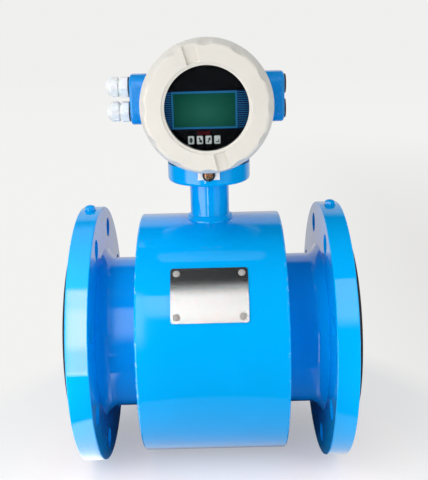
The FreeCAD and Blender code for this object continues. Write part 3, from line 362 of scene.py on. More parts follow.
class Finish(Nodes):
    """A node material built round one Principled shader."""

    def __init__(self, name):
        self.material = bpy.data.materials.new(name)
        self.material.use_nodes = True
        super().__init__(self.material.node_tree)
        self.main = self.tree.nodes["Principled BSDF"]
        self.output = self.tree.nodes["Material Output"]
        self.place = self.add("ShaderNodeTexCoord").outputs["Object"]

    def set(self, **sockets):
        """Sets inputs of the main shader by name, with underscores for spaces."""
        for key, value in sockets.items():
            self.main.inputs[key.replace("_", " ")].default_value = value

    def noise(self, scale, detail=3.0, roughness=0.5, stretch=None):
        """Noise in cycles for each metre, with a stretch along each axis if given."""
        texture = self.add("ShaderNodeTexNoise")
        texture.inputs["Scale"].default_value = scale
        texture.inputs["Detail"].default_value = detail
        texture.inputs["Roughness"].default_value = roughness
        source = self.place
        if stretch:
            mapping = self.add("ShaderNodeMapping")
            mapping.inputs["Scale"].default_value = stretch
            self.link(source, mapping.inputs["Vector"])
            source = mapping.outputs["Vector"]
        self.link(source, texture.inputs["Vector"])
        return texture.outputs["Fac"]

    def mottle(self, scale, detail, low=0.0, high=1.0, roughness=0.5):
        """Noise that wanders between two values."""
        return self.spread(self.noise(scale, detail, roughness), low, high)

    def mix(self, factor, first, second):
        """Colour mix; each colour is a socket or a tuple."""
        node = self.add("ShaderNodeMix", data_type="RGBA")
        self.link(factor, node.inputs["Factor"])
        self.feed(first, node.inputs[6])
        self.feed(second, node.inputs[7])
        return node.outputs[2]

    def mottled(self, base, scale, detail, darker, lighter):
        """A colour that wanders between two tints of itself."""
        return self.mix(self.mottle(scale, detail), tinted(base, darker), tinted(base, lighter))

    def axis_value(self, axis):
        """One coordinate of the place on the object."""
        split = self.add("ShaderNodeSeparateXYZ")
        self.link(self.place, split.inputs[0])
        return split.outputs[axis]

    def colour_from(self, socket):
        """Links the main shader's colour."""
        self.link(socket, self.main.inputs["Base Color"])

    def roughness_from(self, socket):
        """Links the main shader's roughness."""
        self.link(socket, self.main.inputs["Roughness"])

    def bump(self, height, strength, distance):
        """Adds relief; several calls stack."""
        node = self.add("ShaderNodeBump")
        node.inputs["Strength"].default_value = strength
        node.inputs["Distance"].default_value = distance
        self.link(height, node.inputs["Height"])
        normal = self.main.inputs["Normal"]
        if normal.links:
            self.link(normal.links[0].from_socket, node.inputs["Normal"])
        self.link(node.outputs["Normal"], normal)


def tinted(value, factor):
    """A colour made lighter or darker."""
    return tuple(min(1.0, channel * factor) for channel in value)


def toward(value, other, amount):
    """A colour moved toward another."""
    return tuple(a + (b - a) * amount for a, b in zip(value, other))


def enamel_finish(name, scuffed=False):
    """Gloss enamel sprayed on welded steel, with pale chips along the drum's rims if scuffed."""
    base = tuple(settings().meter_colours.sensor)
    finish = Finish(name)
    tone = finish.mottled(base, 14, 2, 0.96, 1.03)
    tone = finish.mix(finish.mottle(420, 2, 0.0, 0.5), tone, tinted(base, 0.93))
    if scuffed:
        primer = (0.42, 0.66, 0.92)
        from_middle = finish.maths("ABSOLUTE", finish.axis_value(0))
        near_rim = finish.spread(from_middle, 0.0, 1.0, DRUM_END - 0.0030, DRUM_END - 0.0008)
        chips = finish.spread(finish.noise(170, 4, 0.7), 0.0, 1.0, 0.56, 0.62)
        amount = finish.maths("MULTIPLY", near_rim, chips)
        amount = finish.maths("MULTIPLY", amount, settings().meter_finish.edge_scuffs)
        tone = finish.mix(amount, tone, primer)
    finish.colour_from(tone)
    rough = settings().meter_finish.enamel_roughness
    finish.roughness_from(finish.mottle(45, 3, rough * 0.8, rough * 1.35))
    finish.bump(finish.noise(60, 2), settings().meter_finish.enamel_ripple, 0.0008)
    finish.bump(finish.noise(520, 2), 0.03, 0.0002)
    finish.set(Coat_Weight=1.0, Coat_Roughness=0.04, Coat_IOR=1.5, Specular_IOR_Level=0.03)
    return finish.material


def converter_finish():
    """Deep blue powder coat with visible orange peel."""
    finish = Finish("converter_powder_coat")
    finish.colour_from(finish.mottled(tuple(settings().meter_colours.converter), 30, 2, 0.9, 1.08))
    finish.roughness_from(finish.mottle(300, 2, 0.18, 0.30))
    finish.bump(finish.noise(430, 3, 0.55), settings().meter_finish.converter_peel, 0.0005)
    finish.set(Coat_Weight=0.4, Coat_Roughness=0.10)
    return finish.material


def cover_finish():
    """Cream powder coat, slightly satin, with faint handling marks."""
    base = tuple(settings().meter_colours.cover)
    finish = Finish("cover_powder_coat")
    tone = finish.mottled(base, 22, 4, 0.965, 1.02)
    marks = finish.spread(finish.noise(75, 5, 0.65), 0.0, 0.10, 0.60, 0.72)
    finish.colour_from(finish.mix(marks, tone, tinted(base, 0.8)))
    rough = settings().meter_finish.cover_roughness
    finish.roughness_from(finish.mottle(160, 3, rough * 0.88, rough * 1.15))
    finish.bump(finish.noise(900, 3), 0.16, 0.00025)
    finish.bump(finish.noise(110, 2), 0.10, 0.0006)
    return finish.material


def metal_finish(name, base, roughness, grain=None, grain_strength=0.1):
    """Bare metal; grain is a stretch for the brushing marks."""
    finish = Finish(name)
    finish.colour_from(finish.mottled(base, 60, 3, 0.94, 1.06))
    finish.roughness_from(finish.mottle(180, 3, roughness * 0.75, roughness * 1.3, 0.6))
    marks = finish.noise(260, 3, 0.6, grain) if grain else finish.noise(700, 2)
    finish.bump(marks, grain_strength, 0.0002)
    finish.set(Metallic=1.0)
    return finish.material


def moulded_finish(name, base, roughness, texture=0.08, scale=800, gloss=0.5, glow=0.0):
    """Plastic, rubber, print or dull plating; glow is the share of light that spreads inside."""
    finish = Finish(name)
    finish.colour_from(finish.mottled(base, 90, 3, 0.94, 1.05))
    finish.roughness_from(finish.mottle(240, 3, roughness * 0.9, roughness * 1.12))
    finish.bump(finish.noise(scale, 3), texture, 0.0002)
    finish.set(Specular_IOR_Level=gloss, Subsurface_Weight=glow)
    return finish.material


def glass_finish():
    """Thin clear glass without a strong reflection."""
    finish = Finish("window_glass")
    finish.colour_from(finish.mix(finish.mottle(30, 2), (0.97, 0.99, 0.98), (0.99, 1.0, 0.995)))
    finish.roughness_from(finish.mottle(80, 2, 0.0, 0.03))
    finish.set(Transmission_Weight=1.0, IOR=1.05)
    return finish.material


# ---- Sensor ------------------------------------------------------------------------------------
SENSOR_NODES = ("measuring_tube", "inlet_flange", "outlet_flange", "inlet_end_plate",
                "outlet_end_plate", "flange_earth_bolts", "flange_earth_washers")
LINER_NODES = ("tube_liner", "inlet_liner_face", "outlet_liner_face")

# How hollow a fillet weld is: 1 is a flat slope and 1.8 is about a quarter of a circle.
FLANGE_WELD_HOLLOW = 1.45
PLATE_WELD_HOLLOW = 1.8
WELD_SINK = 0.0004

PLATE_SETBACK = 0.001
RIM_BEAD_INSET = 0.0047
RIM_BEAD_SETBACK = 0.0012

# How far the neck's bead stands out from the pipe and up from the drum, as shares of its size.
NECK_BEAD_OUT = 0.35
NECK_BEAD_UP = 0.30


class METER_OT_sensor(bpy.types.Operator):
    """Enamel the tube, flanges and drum, and lay their weld beads"""
    bl_idname = "meter.sensor"
    bl_label = "Sensor body"

    def execute(self, context):
        sizes = context.scene.meter_sizes
        paint = enamel_finish("sensor_enamel")
        drum_paint = enamel_finish("drum_enamel", scuffed=True)
        for node in SENSOR_NODES:
            dress(node, paint)
        dress("coil_housing_shell", drum_paint)
        rubber_colour = tuple(context.scene.meter_colours.rubber)
        rubber = moulded_finish("liner_rubber", rubber_colour, 0.5, texture=0.12, scale=500)
        for node in LINER_NODES:
            dress(node, rubber)
        for name, side in (("inlet", -1), ("outlet", 1)):
            self.weld_round_tube(name + "_flange_weld", side * FLANGE_BACK, -side,
                                 sizes.flange_weld, FLANGE_WELD_HOLLOW, paint)
            self.weld_round_tube(name + "_drum_weld", side * (DRUM_END - PLATE_SETBACK), side,
                                 sizes.plate_weld, PLATE_WELD_HOLLOW, paint)
            self.weld_round_drum(name + "_rim_weld", side, sizes.drum_weld, drum_paint)
        return {"FINISHED"}

    def weld_round_tube(self, name, station, away, leg, hollow, paint):
        """Hollow fillet weld in the corner between the tube and a plate, with its faint ripples."""
        root = TUBE_RADIUS - 2 * WELD_SINK
        slope = 14
        outline = [(-WELD_SINK, root), (leg, root)]
        for step in range(slope + 1):
            part = step / slope
            outline.append((leg * (1 - part) ** hollow, TUBE_RADIUS + leg * part ** hollow))
        outline.append((-WELD_SINK, TUBE_RADIUS + leg))

        def rippled(along, radius, angle):
            slow = noise.noise(Vector((math.cos(angle) * 2.5, math.sin(angle) * 2.5, station * 40)))
            grow = 1.0 + 0.06 * slow
            return along * grow, TUBE_RADIUS + (radius - TUBE_RADIUS) * grow

        bm = lathe(bmesh.new(), outline, (station, 0, 0), (away, 0, 0), ROUND_STEPS * 2, rippled)
        piece(name, bm, "root", "sensor_paint", paint, sharp_angle=60)

    def weld_round_drum(self, name, side, size, paint):
        """Ground bead that closes the drum's rim over its end plate."""
        centre = Vector((side * (DRUM_END - RIM_BEAD_SETBACK), 0, 0))
        path = []
        sides = []
        count = ROUND_STEPS * 2
        for index in range(count):
            angle = 2 * math.pi * index / count
            out = Vector((0, math.cos(angle), math.sin(angle)))
            path.append(out * (DRUM_RADIUS - RIM_BEAD_INSET) + centre)
            sides.append((Vector((1, 0, 0)), out))
        bm = bead(bmesh.new(), path, sides, size, ripple=0.8, seed=side * 5.0)
        piece(name, bm, "root", "sensor_paint", paint, sharp_angle=80)


class METER_OT_neck(bpy.types.Operator):
    """Enamel the neck and the seat, and lay the saddle weld"""
    bl_idname = "meter.neck"
    bl_label = "Neck and seat"

    def execute(self, context):
        paint = enamel_finish("neck_enamel")
        dress("neck_pipe", paint)
        dress("converter_seat", paint)
        rubber_colour = tuple(context.scene.meter_colours.rubber)
        dress("seat_gasket", moulded_finish("gasket_rubber", rubber_colour, 0.6))
        size = context.scene.meter_sizes.neck_weld
        radius = context.scene.meter_sizes.neck_radius + size * NECK_BEAD_OUT
        path = []
        sides = []
        for index in range(ROUND_STEPS):
            angle = 2 * math.pi * index / ROUND_STEPS
            out = Vector((math.cos(angle), math.sin(angle), 0))
            across = out * radius
            height = math.sqrt(DRUM_RADIUS ** 2 - across.y ** 2)
            path.append(Vector((across.x, across.y, height + size * NECK_BEAD_UP)))
            sides.append((Vector((0, 0, 1)), out))
        bm = bead(bmesh.new(), path, sides, size, ripple=0.85, seed=3.0, steps=10)
        piece("neck_saddle_weld", bm, "root", "sensor_paint", paint, sharp_angle=80)
        return {"FINISHED"}


# ---- Nameplate ---------------------------------------------------------------------------------
RIVET_SHADE = 0.55


class METER_OT_nameplate(bpy.types.Operator):
    """Finish the bare nameplate and its rivets"""
    bl_idname = "meter.nameplate"
    bl_label = "Nameplate"

    def execute(self, context):
        colours = context.scene.meter_colours
        dress("nameplate", self.brushed_plate(tuple(colours.plate)))
        rivet_colour = tinted(tuple(colours.steel), RIVET_SHADE)
        dress("nameplate_rivets", moulded_finish("rivet_steel", rivet_colour, 0.2))
        return {"FINISHED"}

    def brushed_plate(self, steel):
        """Stainless sheet with an even upright grain, which spreads a highlight sideways."""
        finish = Finish("nameplate_steel")
        hairs = finish.noise(300, 2, 0.5, (6.0, 0.15, 0.15))
        tone = finish.mix(finish.spread(hairs, 0.0, 1.0), tinted(steel, 0.97), tinted(steel, 1.03))
        finish.colour_from(tone)
        finish.roughness_from(finish.mottle(40, 2, 0.22, 0.235))
        finish.bump(hairs, 0.02, 0.0001)
        tangent = finish.add("ShaderNodeTangent", direction_type="RADIAL", axis="X")
        finish.link(tangent.outputs[0], finish.main.inputs["Tangent"])
        finish.set(Metallic=1.0, Anisotropic=0.95, Anisotropic_Rotation=0.25)
        return finish.material


# ---- Earth terminal ----------------------------------------------------------------------------
class METER_OT_earth(bpy.types.Operator):
    """Finish the earth plate, spring washer and screw on the seat"""
    bl_idname = "meter.earth"
    bl_label = "Earth terminal"

    def execute(self, context):
        dress("earth_terminal_plate", moulded_finish("zinc_plating", (0.95, 0.96, 0.97), 0.35))
        dress("earth_spring_washer", metal_finish("blued_spring_steel", (0.07, 0.09, 0.13), 0.35))
        dress("earth_terminal_screw", metal_finish("screw_brass", (0.72, 0.45, 0.28), 0.28))
        return {"FINISHED"}


# ---- Converter housing -------------------------------------------------------------------------
class METER_OT_housing(bpy.types.Operator):
    """Powder coat the converter housing"""
    bl_idname = "meter.housing"
    bl_label = "Converter housing"

    def execute(self, context):
        dress("converter_housing", converter_finish())
        return {"FINISHED"}


# ---- Covers ------------------------------------------------------------------------------------
THREAD_WALL = 0.0039
THREAD_DEPTH = 0.003
SPIGOT_LENGTH = 0.0036
GLASS_CLEARANCE = 0.0001
SCALLOP_RUN_OUT = 0.002
SCALLOP_CLEARANCE = 0.0006
SCALLOP_EXTRA_RADIUS = 0.003
SCALLOP_BLEND = 0.0012
SIDE_DEPTH = 0.012
SLOT_MARGIN = 0.0012
SLOT_BLEND = 0.0009
SLOT_FLARE = 5.0
BLIND_FACE = 0.006
CENTRE_HOLE = 0.0005
LONGEST_RUN = 0.0009


def soft_min(a, b, blend):
    """The smaller of two lengths, with a rounded change-over."""
    h = max(blend - abs(a - b), 0.0) / blend
    return min(a, b) - h * h * blend / 4


class CoverForm:
    """The cast form of a cover: scallops round its side and a key slot across its face."""

    def __init__(self, sizes, rim_radius):
        self.sizes = sizes
        half = sizes.scallop_width / 2
        depth = sizes.scallop_depth
        self.cutter = (half ** 2 + depth ** 2) / (2 * depth) + SCALLOP_EXTRA_RADIUS
        self.rim_station = COVER_END + sizes.rim_width
        self.deep_centre = sizes.face_radius - depth + self.cutter
        self.clear_centre = rim_radius + SCALLOP_CLEARANCE + self.cutter
        self.floor = COVER_FACE - sizes.slot_depth

    def scalloped(self, station, radius, angle):
        """Radius after the nearest scallop has cut it."""
        pitch = 2 * math.pi / self.sizes.scallops
        offset = (angle + pitch / 2) % pitch - pitch / 2
        along = (COVER_FACE - station) / (COVER_FACE - self.rim_station)
        centre = self.deep_centre + (self.clear_centre - self.deep_centre) * along
        sideways = centre * math.sin(offset)
        if abs(sideways) >= self.cutter or station < self.rim_station - SCALLOP_RUN_OUT:
            return radius
        cut = centre * math.cos(offset) - math.sqrt(self.cutter ** 2 - sideways ** 2)
        return soft_min(radius, cut, SCALLOP_BLEND)

    def slotted(self, station, radius, angle):
        """Station after the key slot has lowered it."""
        tilt = angle - self.sizes.slot_tilt
        across = abs(radius * math.sin(tilt))
        along = abs(radius * math.cos(tilt))
        outside = max(across - self.sizes.slot_width / 2, self.sizes.slot_start - along, 0.0)
        limit = self.floor + outside * SLOT_FLARE
        return soft_min(station, limit, SLOT_BLEND) if limit < station + SLOT_BLEND else station

    def outer(self, station, radius, angle):
        """Moves a point of the outside surface."""
        if radius > self.sizes.face_radius - SIDE_DEPTH:
            radius = self.scalloped(station, radius, angle)
        if station > self.floor - SLOT_MARGIN:
            station = self.slotted(station, radius, angle)
        return station, radius


def cover_profile(sizes, rim_radius, windowed):
    """Closed outline of a cover, from its end over the side to the face and back inside."""
    rim_station = COVER_END + sizes.rim_width
    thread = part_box("front_cover_ring")[1].z - HEAD_Z - THREAD_DEPTH
    outside = [
        (COVER_END, thread + THREAD_WALL, 0), (COVER_END, rim_radius, 0.0012),
        (rim_station, rim_radius, 0.0022), (COVER_FACE, sizes.face_radius, sizes.face_rounding),
    ]
    if windowed:
        back = -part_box("cover_window")[0].y
        ring_end = -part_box("window_retaining_ring")[1].y
        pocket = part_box("cover_window")[1].x + GLASS_CLEARANCE
        middle = [
            (COVER_FACE, sizes.window_radius + 0.0030, 0.0005),
            (COVER_FACE - 0.0009, sizes.window_radius + 0.0024, 0.0004),
            (COVER_FACE - 0.0016, sizes.window_radius, 0.0004),
            (back, sizes.window_radius, 0), (back, pocket, 0), (ring_end, pocket, 0),
            (ring_end, thread, 0),
        ]
    else:
        middle = [
            (COVER_FACE, CENTRE_HOLE, 0), (COVER_FACE - BLIND_FACE, CENTRE_HOLE, 0),
            (COVER_FACE - BLIND_FACE, thread, 0),
        ]
    spigot = COVER_END + SPIGOT_LENGTH
    inside = [(spigot, thread, 0), (spigot, thread + THREAD_WALL, 0)]
    return subdivided(rounded(outside + middle + inside, steps=6), LONGEST_RUN)


class METER_OT_covers(bpy.types.Operator):
    """Cast and coat both screw covers, with the window, its ring and the seals"""
    bl_idname = "meter.covers"
    bl_label = "Covers"

    def execute(self, context):
        sizes = context.scene.meter_sizes
        coat = cover_finish()
        covers = (
            ("front_cover", (0, -1, 0), COVER_RADIUS, True),
            ("rear_cover", (0, 1, 0), sizes.rear_rim, False),
        )
        for name, axis, rim_radius, windowed in covers:
            form = CoverForm(sizes, rim_radius)
            outline = [tuple(point) for point in cover_profile(sizes, rim_radius, windowed)]
            bm = lathe(bmesh.new(), outline, (0, 0, HEAD_Z), axis, COVER_STEPS, form.outer)
            piece(name + "_casting", bm, name, "cover_paint", coat, sharp_angle=40,
                  stands_for=[name])
        rubber = moulded_finish("ring_rubber", tuple(context.scene.meter_colours.rubber), 0.45)
        dress("front_cover_ring", rubber)
        dress("rear_cover_ring", rubber)
        dress("cover_window", glass_finish())
        dress("window_retaining_ring", metal_finish("ring_aluminium", (0.45, 0.45, 0.46), 0.35))
        return {"FINISHED"}


# ---- Display -----------------------------------------------------------------------------------
PRINT_LIFT = 0.00004

# Reach of the print past the window, rim of the display that the glass leaves out, and width of the
# printed frame on each side of the glass, with the dark edge round it.
PRINT_REACH = 0.004
LCD_RIM = 0.0038
FRAME_LEFT = 0.0019
FRAME_RIGHT = 0.0021
FRAME_LOW = 0.0018
FRAME_HIGH = 0.0020
FRAME_EDGE = 0.0006
STRIPE_SHARE = 0.36

# Painted light on the display: a paler middle and darker edges stand in for the shade that the recess
# casts round the glass. Half the width and height of the pale middle, and how far it sits below the
# middle.
LIT_MIDDLE_WIDTH = 0.036
LIT_MIDDLE_HEIGHT = 0.022
LIT_MIDDLE_DROP = 0.002
LIT_MIDDLE_COLOUR = (0.045, 0.10, 0.08)


def printed(bm, outline, station):
    """Flat field of print on the panel, from an outline of (x, z) points."""
    front = [bm.verts.new((x, -station - PRINT_LIFT, z)) for x, z in outline]
    back = [bm.verts.new((x, -station, z)) for x, z in outline]
    bm.faces.new(front)
    bm.faces.new(list(reversed(back)))
    count = len(outline)
    for index in range(count):
        following = (index + 1) % count
        bm.faces.new((front[index], back[index], back[following], front[following]))


def rectangle(left, low, right, high):
    """Corners of a rectangle."""
    return [(left, low), (right, low), (right, high), (left, high)]


def sign_outlines(kind):
    """Outlines of a button's sign, in millimetres from the middle of its face."""
    if kind == "function":
        turns = [math.pi * step / 8 for step in range(16)]
        return [[(1.5 * math.cos(turn), 2.7 * math.sin(turn)) for turn in turns]]
    if kind == "enter":
        return [rectangle(-1.4, -2.2, 1.6, -1.4), rectangle(0.9, -1.4, 1.6, 0.6)]
    shaft = [(-1.3, -2.2), (-0.1, -2.7), (1.5, 0.8), (0.3, 1.2)]
    tip = [(-1.2, 1.1), (2.1, -0.3), (1.8, 2.9)]
    lean = -1 if kind == "down" else 1
    return [[(a, lean * b) for a, b in shape][::lean] for shape in (shaft, tip)]


class METER_OT_display(bpy.types.Operator):
    """Build the printed panel, the blank display, the indicator and the buttons"""
    bl_idname = "meter.display"
    bl_label = "Display"

    def execute(self, context):
        colours = context.scene.meter_colours
        film = moulded_finish("panel_film", tuple(colours.panel), 0.32, texture=0.05, scale=900,
                              gloss=0.05)
        dress("display_panel", film)
        self.print_frame(context)
        self.display_glass(colours)
        acrylic = moulded_finish("indicator_acrylic", tuple(colours.indicator), 0.2, texture=0.02,
                                 gloss=0.1)
        dress("indicator_window", acrylic)
        grey = moulded_finish("button_plastic", tuple(colours.button), 0.45, texture=0.06, gloss=0.1)
        ink = moulded_finish("button_ink", (0.015, 0.03, 0.03), 0.5)
        for kind in ("function", "down", "up", "enter"):
            dress(kind + "_button", grey)
            self.sign(kind, ink)
        return {"FINISHED"}

    def print_frame(self, context):
        """Dark ground, light frame and light stripes across the panel."""
        colours = context.scene.meter_colours
        pitch = context.scene.meter_sizes.stripe_pitch
        reach = context.scene.meter_sizes.window_radius + PRINT_REACH
        glass_left, glass_right = LCD_LOW.x + LCD_RIM, LCD_HIGH.x - LCD_RIM
        glass_low, glass_high = LCD_LOW.z + LCD_RIM, LCD_HIGH.z - LCD_RIM
        left, right = glass_left - FRAME_LEFT, glass_right + FRAME_RIGHT
        low, high = glass_low - FRAME_LOW, glass_high + FRAME_HIGH

        def beside(bm, gap, bottom, top, station):
            """A field on each side of the frame, out to the panel's edge."""
            for inner, outer in ((left - gap, -reach), (right + gap, reach)):
                field = rectangle(min(inner, outer), bottom, max(inner, outer), top)
                printed(bm, field, station)

        ground = bmesh.new()
        beside(ground, 0.0, low - FRAME_EDGE, high + FRAME_EDGE, PANEL_FACE)
        printed(ground, rectangle(left, high, right, high + FRAME_EDGE), PANEL_FACE)
        printed(ground, rectangle(left, low - FRAME_EDGE, right, low), PANEL_FACE)
        navy = moulded_finish("print_navy", tuple(colours.print_dark), 0.35, gloss=0.05)
        piece("panel_print_ground", ground, "root", "panel_film", navy, sharp_angle=20)

        light = bmesh.new()
        for side in (rectangle(left, glass_high, right, high), rectangle(left, low, right, glass_low),
                     rectangle(left, glass_low, glass_left, glass_high),
                     rectangle(glass_right, glass_low, right, glass_high)):
            printed(light, side, PANEL_FACE)
        for index in range(int((high - low) / pitch)):
            stripe = low + pitch * (index + 0.35)
            beside(light, FRAME_EDGE, stripe, stripe + pitch * STRIPE_SHARE, PANEL_FACE + PRINT_LIFT)
        blue = moulded_finish("print_blue", tuple(colours.print_light), 0.35, gloss=0.05)
        piece("panel_print_light", light, "root", "panel_film", blue, sharp_angle=20)

    def display_glass(self, colours):
        """Blank display behind its own glass, with painted light: paler in the middle and darker at the
        edges, where the recess shades it.
        """
        base = tuple(colours.display)
        pale = toward(tinted(base, 1.35), LIT_MIDDLE_COLOUR, 0.4)
        middle = (LCD_LOW + LCD_HIGH) / 2
        finish = Finish("display_glass")
        mapping = finish.add("ShaderNodeMapping")
        mapping.inputs["Location"].default_value = (-middle.x / LIT_MIDDLE_WIDTH, 0,
                                                    -(middle.z - LIT_MIDDLE_DROP) / LIT_MIDDLE_HEIGHT)
        mapping.inputs["Scale"].default_value = (1 / LIT_MIDDLE_WIDTH, 0.0, 1 / LIT_MIDDLE_HEIGHT)
        finish.link(finish.place, mapping.inputs["Vector"])
        # Painted shade: toward its edges the display darkens to 0.62 of its colour, and its middle is
        # painted paler; the gradient called glow here is painted light, not a lamp.
        glow = finish.add("ShaderNodeTexGradient", gradient_type="SPHERICAL")
        finish.link(mapping.outputs["Vector"], glow.inputs["Vector"])
        share_of_lit_middle = finish.spread(glow.outputs["Fac"], 0.0, 1.0, 0.0, 0.9)
        finish.colour_from(finish.mix(share_of_lit_middle, tinted(base, 0.62), pale))
        finish.roughness_from(finish.mottle(100, 2, 0.20, 0.28))
        finish.bump(finish.noise(2400, 1), 0.02, 0.0001)
        finish.set(Specular_IOR_Level=0.05)
        dress("lcd_module", finish.material)

    def sign(self, kind, ink):
        """Plain dark sign on a button's face."""
        low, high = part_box(kind + "_button")
        middle = (low + high) / 2
        bm = bmesh.new()
        for outline in sign_outlines(kind):
            placed = [(middle.x + a * MILLIMETRE, middle.z + b * MILLIMETRE) for a, b in outline]
            printed(bm, placed, -low.y)
        piece(kind + "_button_sign", bm, kind + "_button", "button_grey", ink, sharp_angle=20)


# ---- Glands and plugs --------------------------------------------------------------------------
class METER_OT_entries(bpy.types.Operator):
    """Finish the cable glands, their gaskets and the blanking plugs"""
    bl_idname = "meter.entries"
    bl_label = "Cable entries"

    def execute(self, context):
        colours = context.scene.meter_colours
        nylon = moulded_finish("gland_nylon", tuple(colours.gland), 0.28, texture=0.05, glow=0.15)
        rubber = moulded_finish("entry_rubber", tuple(colours.rubber), 0.55)
        black = moulded_finish("plug_plastic", (0.012, 0.012, 0.014), 0.38)
        for level in ("upper", "lower"):
            dress(level + "_gland_body", nylon)
            dress(level + "_gland_nut", nylon)
            dress(level + "_gland_insert", rubber)
            dress(level + "_blanking_plug", black)
        dress("gland_gaskets", rubber)
        return {"FINISHED"}


# ---- Inside ------------------------------------------------------------------------------------
class METER_OT_inside(bpy.types.Operator):
    """Finish what the housings hide"""
    bl_idname = "meter.inside"
    bl_label = "Inside"

    def execute(self, context):
        iron = metal_finish("soft_iron", (0.30, 0.30, 0.31), 0.5)
        copper = metal_finish("copper_winding", (0.60, 0.25, 0.12), 0.35, grain=(1.0, 0.05, 1.0),
                              grain_strength=0.4)
        steel_colour = tuple(context.scene.meter_colours.steel)
        steel = metal_finish("fitting_steel", steel_colour, 0.3)
        brass = metal_finish("fitting_brass", (0.72, 0.50, 0.22), 0.3)
        board = moulded_finish("circuit_board", (0.015, 0.12, 0.05), 0.4)
        black = moulded_finish("switch_plastic", (0.02, 0.02, 0.022), 0.5)
        terminal = moulded_finish("terminal_plastic", (0.05, 0.18, 0.11), 0.45)
        jacket = moulded_finish("lead_jacket", (0.03, 0.03, 0.035), 0.55)
        finishes = (
            (iron, ("upper_pole_shoe", "lower_pole_shoe", "magnetic_yoke")),
            (copper, ("upper_coil", "lower_coil")),
            (steel, ("front_electrode", "rear_electrode", "electrode_nuts", "seat_screws")),
            (brass, ("board_spacers", "terminal_clamp_screws")),
            (board, ("display_board", "main_board")),
            (black, ("electrode_bushes", "button_switches")),
            (terminal, ("terminal_block",)),
            (jacket, ("sensor_lead",)),
        )
        for material, nodes in finishes:
            for node in nodes:
                dress(node, material)
        return {"FINISHED"}


# ---- Stage -------------------------------------------------------------------------------------
# Lit curtains that gloss and metal reflect. Each row has a strength, the left and right side with the
# softness of those edges, then the low end and the high end, each with its softness. Ends are in degrees
# above the level. Sides are shares of the sideways direction for the lying cylinders, and degrees about
# the object for the upright ones, with 0 straight in front and the left side negative.
RIM_CURTAINS = (
    (10.0, -0.197, -0.153, 0.004, 40, 5, 57, 3),
    (14.0, -0.197, -0.153, 0.004, 8, 5, 40, 5),
    (7.7, -0.197, -0.153, 0.004, -14, 1.5, 8, 5),
)
LYING_CURTAINS = (
    (2.7, -0.0975, -0.056, 0.0015, 36, 7, 53.5, 1),
    (2.4, -0.136, -0.0985, 0.003, 12, 12, 55, 4),
    (2.5, 0.149, 0.30, 0.003, 25, 7, 61.5, 1.0),
)
OVERHEAD_CURTAINS = (
    (0.8, -0.197, -0.153, 0.004, 50, 8, 95, 1),
)
UPRIGHT_CURTAINS = (
    (4.2, -14.5, -8.9, 1.2, -15.3, 0.6, -12, 2),
    (3.8, -68, -27, 6, -45, 6, 8, 6),
    (0.4, 25, 62, 8, -40, 8, 8, 8),
)

ROOM_LIGHT = (0.97, 0.98, 1.0)
CURTAIN_LIGHT = (1.0, 0.84, 0.77)
RIM_LIGHT = (1.0, 0.47, 0.40)

# The rim's curtains hang again a little further left in the other colours, so that the two together
# look plain in the brushed nameplate.
COUNTER_LIGHT = (0.0, 0.45, 0.46)
COUNTER_SHIFT = 0.05

# Name, place, width, height, watts and aim of each lamp.
LAMPS = (
    ("left_softbox", (-0.50, -0.45, 0.20), 0.60, 0.64, 2.1, (0, 0, 0.03)),
    ("near_strip", (-0.20, -0.46, 0.20), 0.10, 0.50, 0.42, (0, 0, 0.05)),
    ("right_softbox", (0.42, -0.38, 0.18), 0.40, 0.50, 1.2, (0, 0, 0.03)),
    ("top_softbox", (-0.30, -0.20, 0.80), 0.30, 0.30, 1.4, (0, -0.05, 0.26)),
    ("left_rim_strip", (-0.185, -0.185, 0.055), 0.03, 0.28, 0.085, (-0.125, 0, 0.02)),
    ("right_rim_strip", (0.19, -0.20, -0.02), 0.03, 0.22, 0.04, (0.125, 0, -0.02)),
)

FLOOR_SIZE = 60.0
FLOOR_GAP = 0.0002

# The rings of tone on the floor lie round a point this far in front of the object.
FLOOR_MIDDLE = 0.05

# Where the table ends and the backdrop starts, as distances from the middle of the floor.
TABLE_EDGE = (0.30, 0.36)

# The gap between the drum and a flange, where gloss sees shade: its two softened sides.
GAP_NEAR = (0.086, 0.094)
GAP_FAR = (0.118, 0.128)

CAMERA_LENS = 56.61
CAMERA_FILM = 36.0
CAMERA_PLACE = (0.00635, -0.8041, 0.341)
CAMERA_YAW = math.radians(-0.2)
CAMERA_PITCH = math.radians(-16.33)
CAMERA_ROLL = math.radians(-1.43)


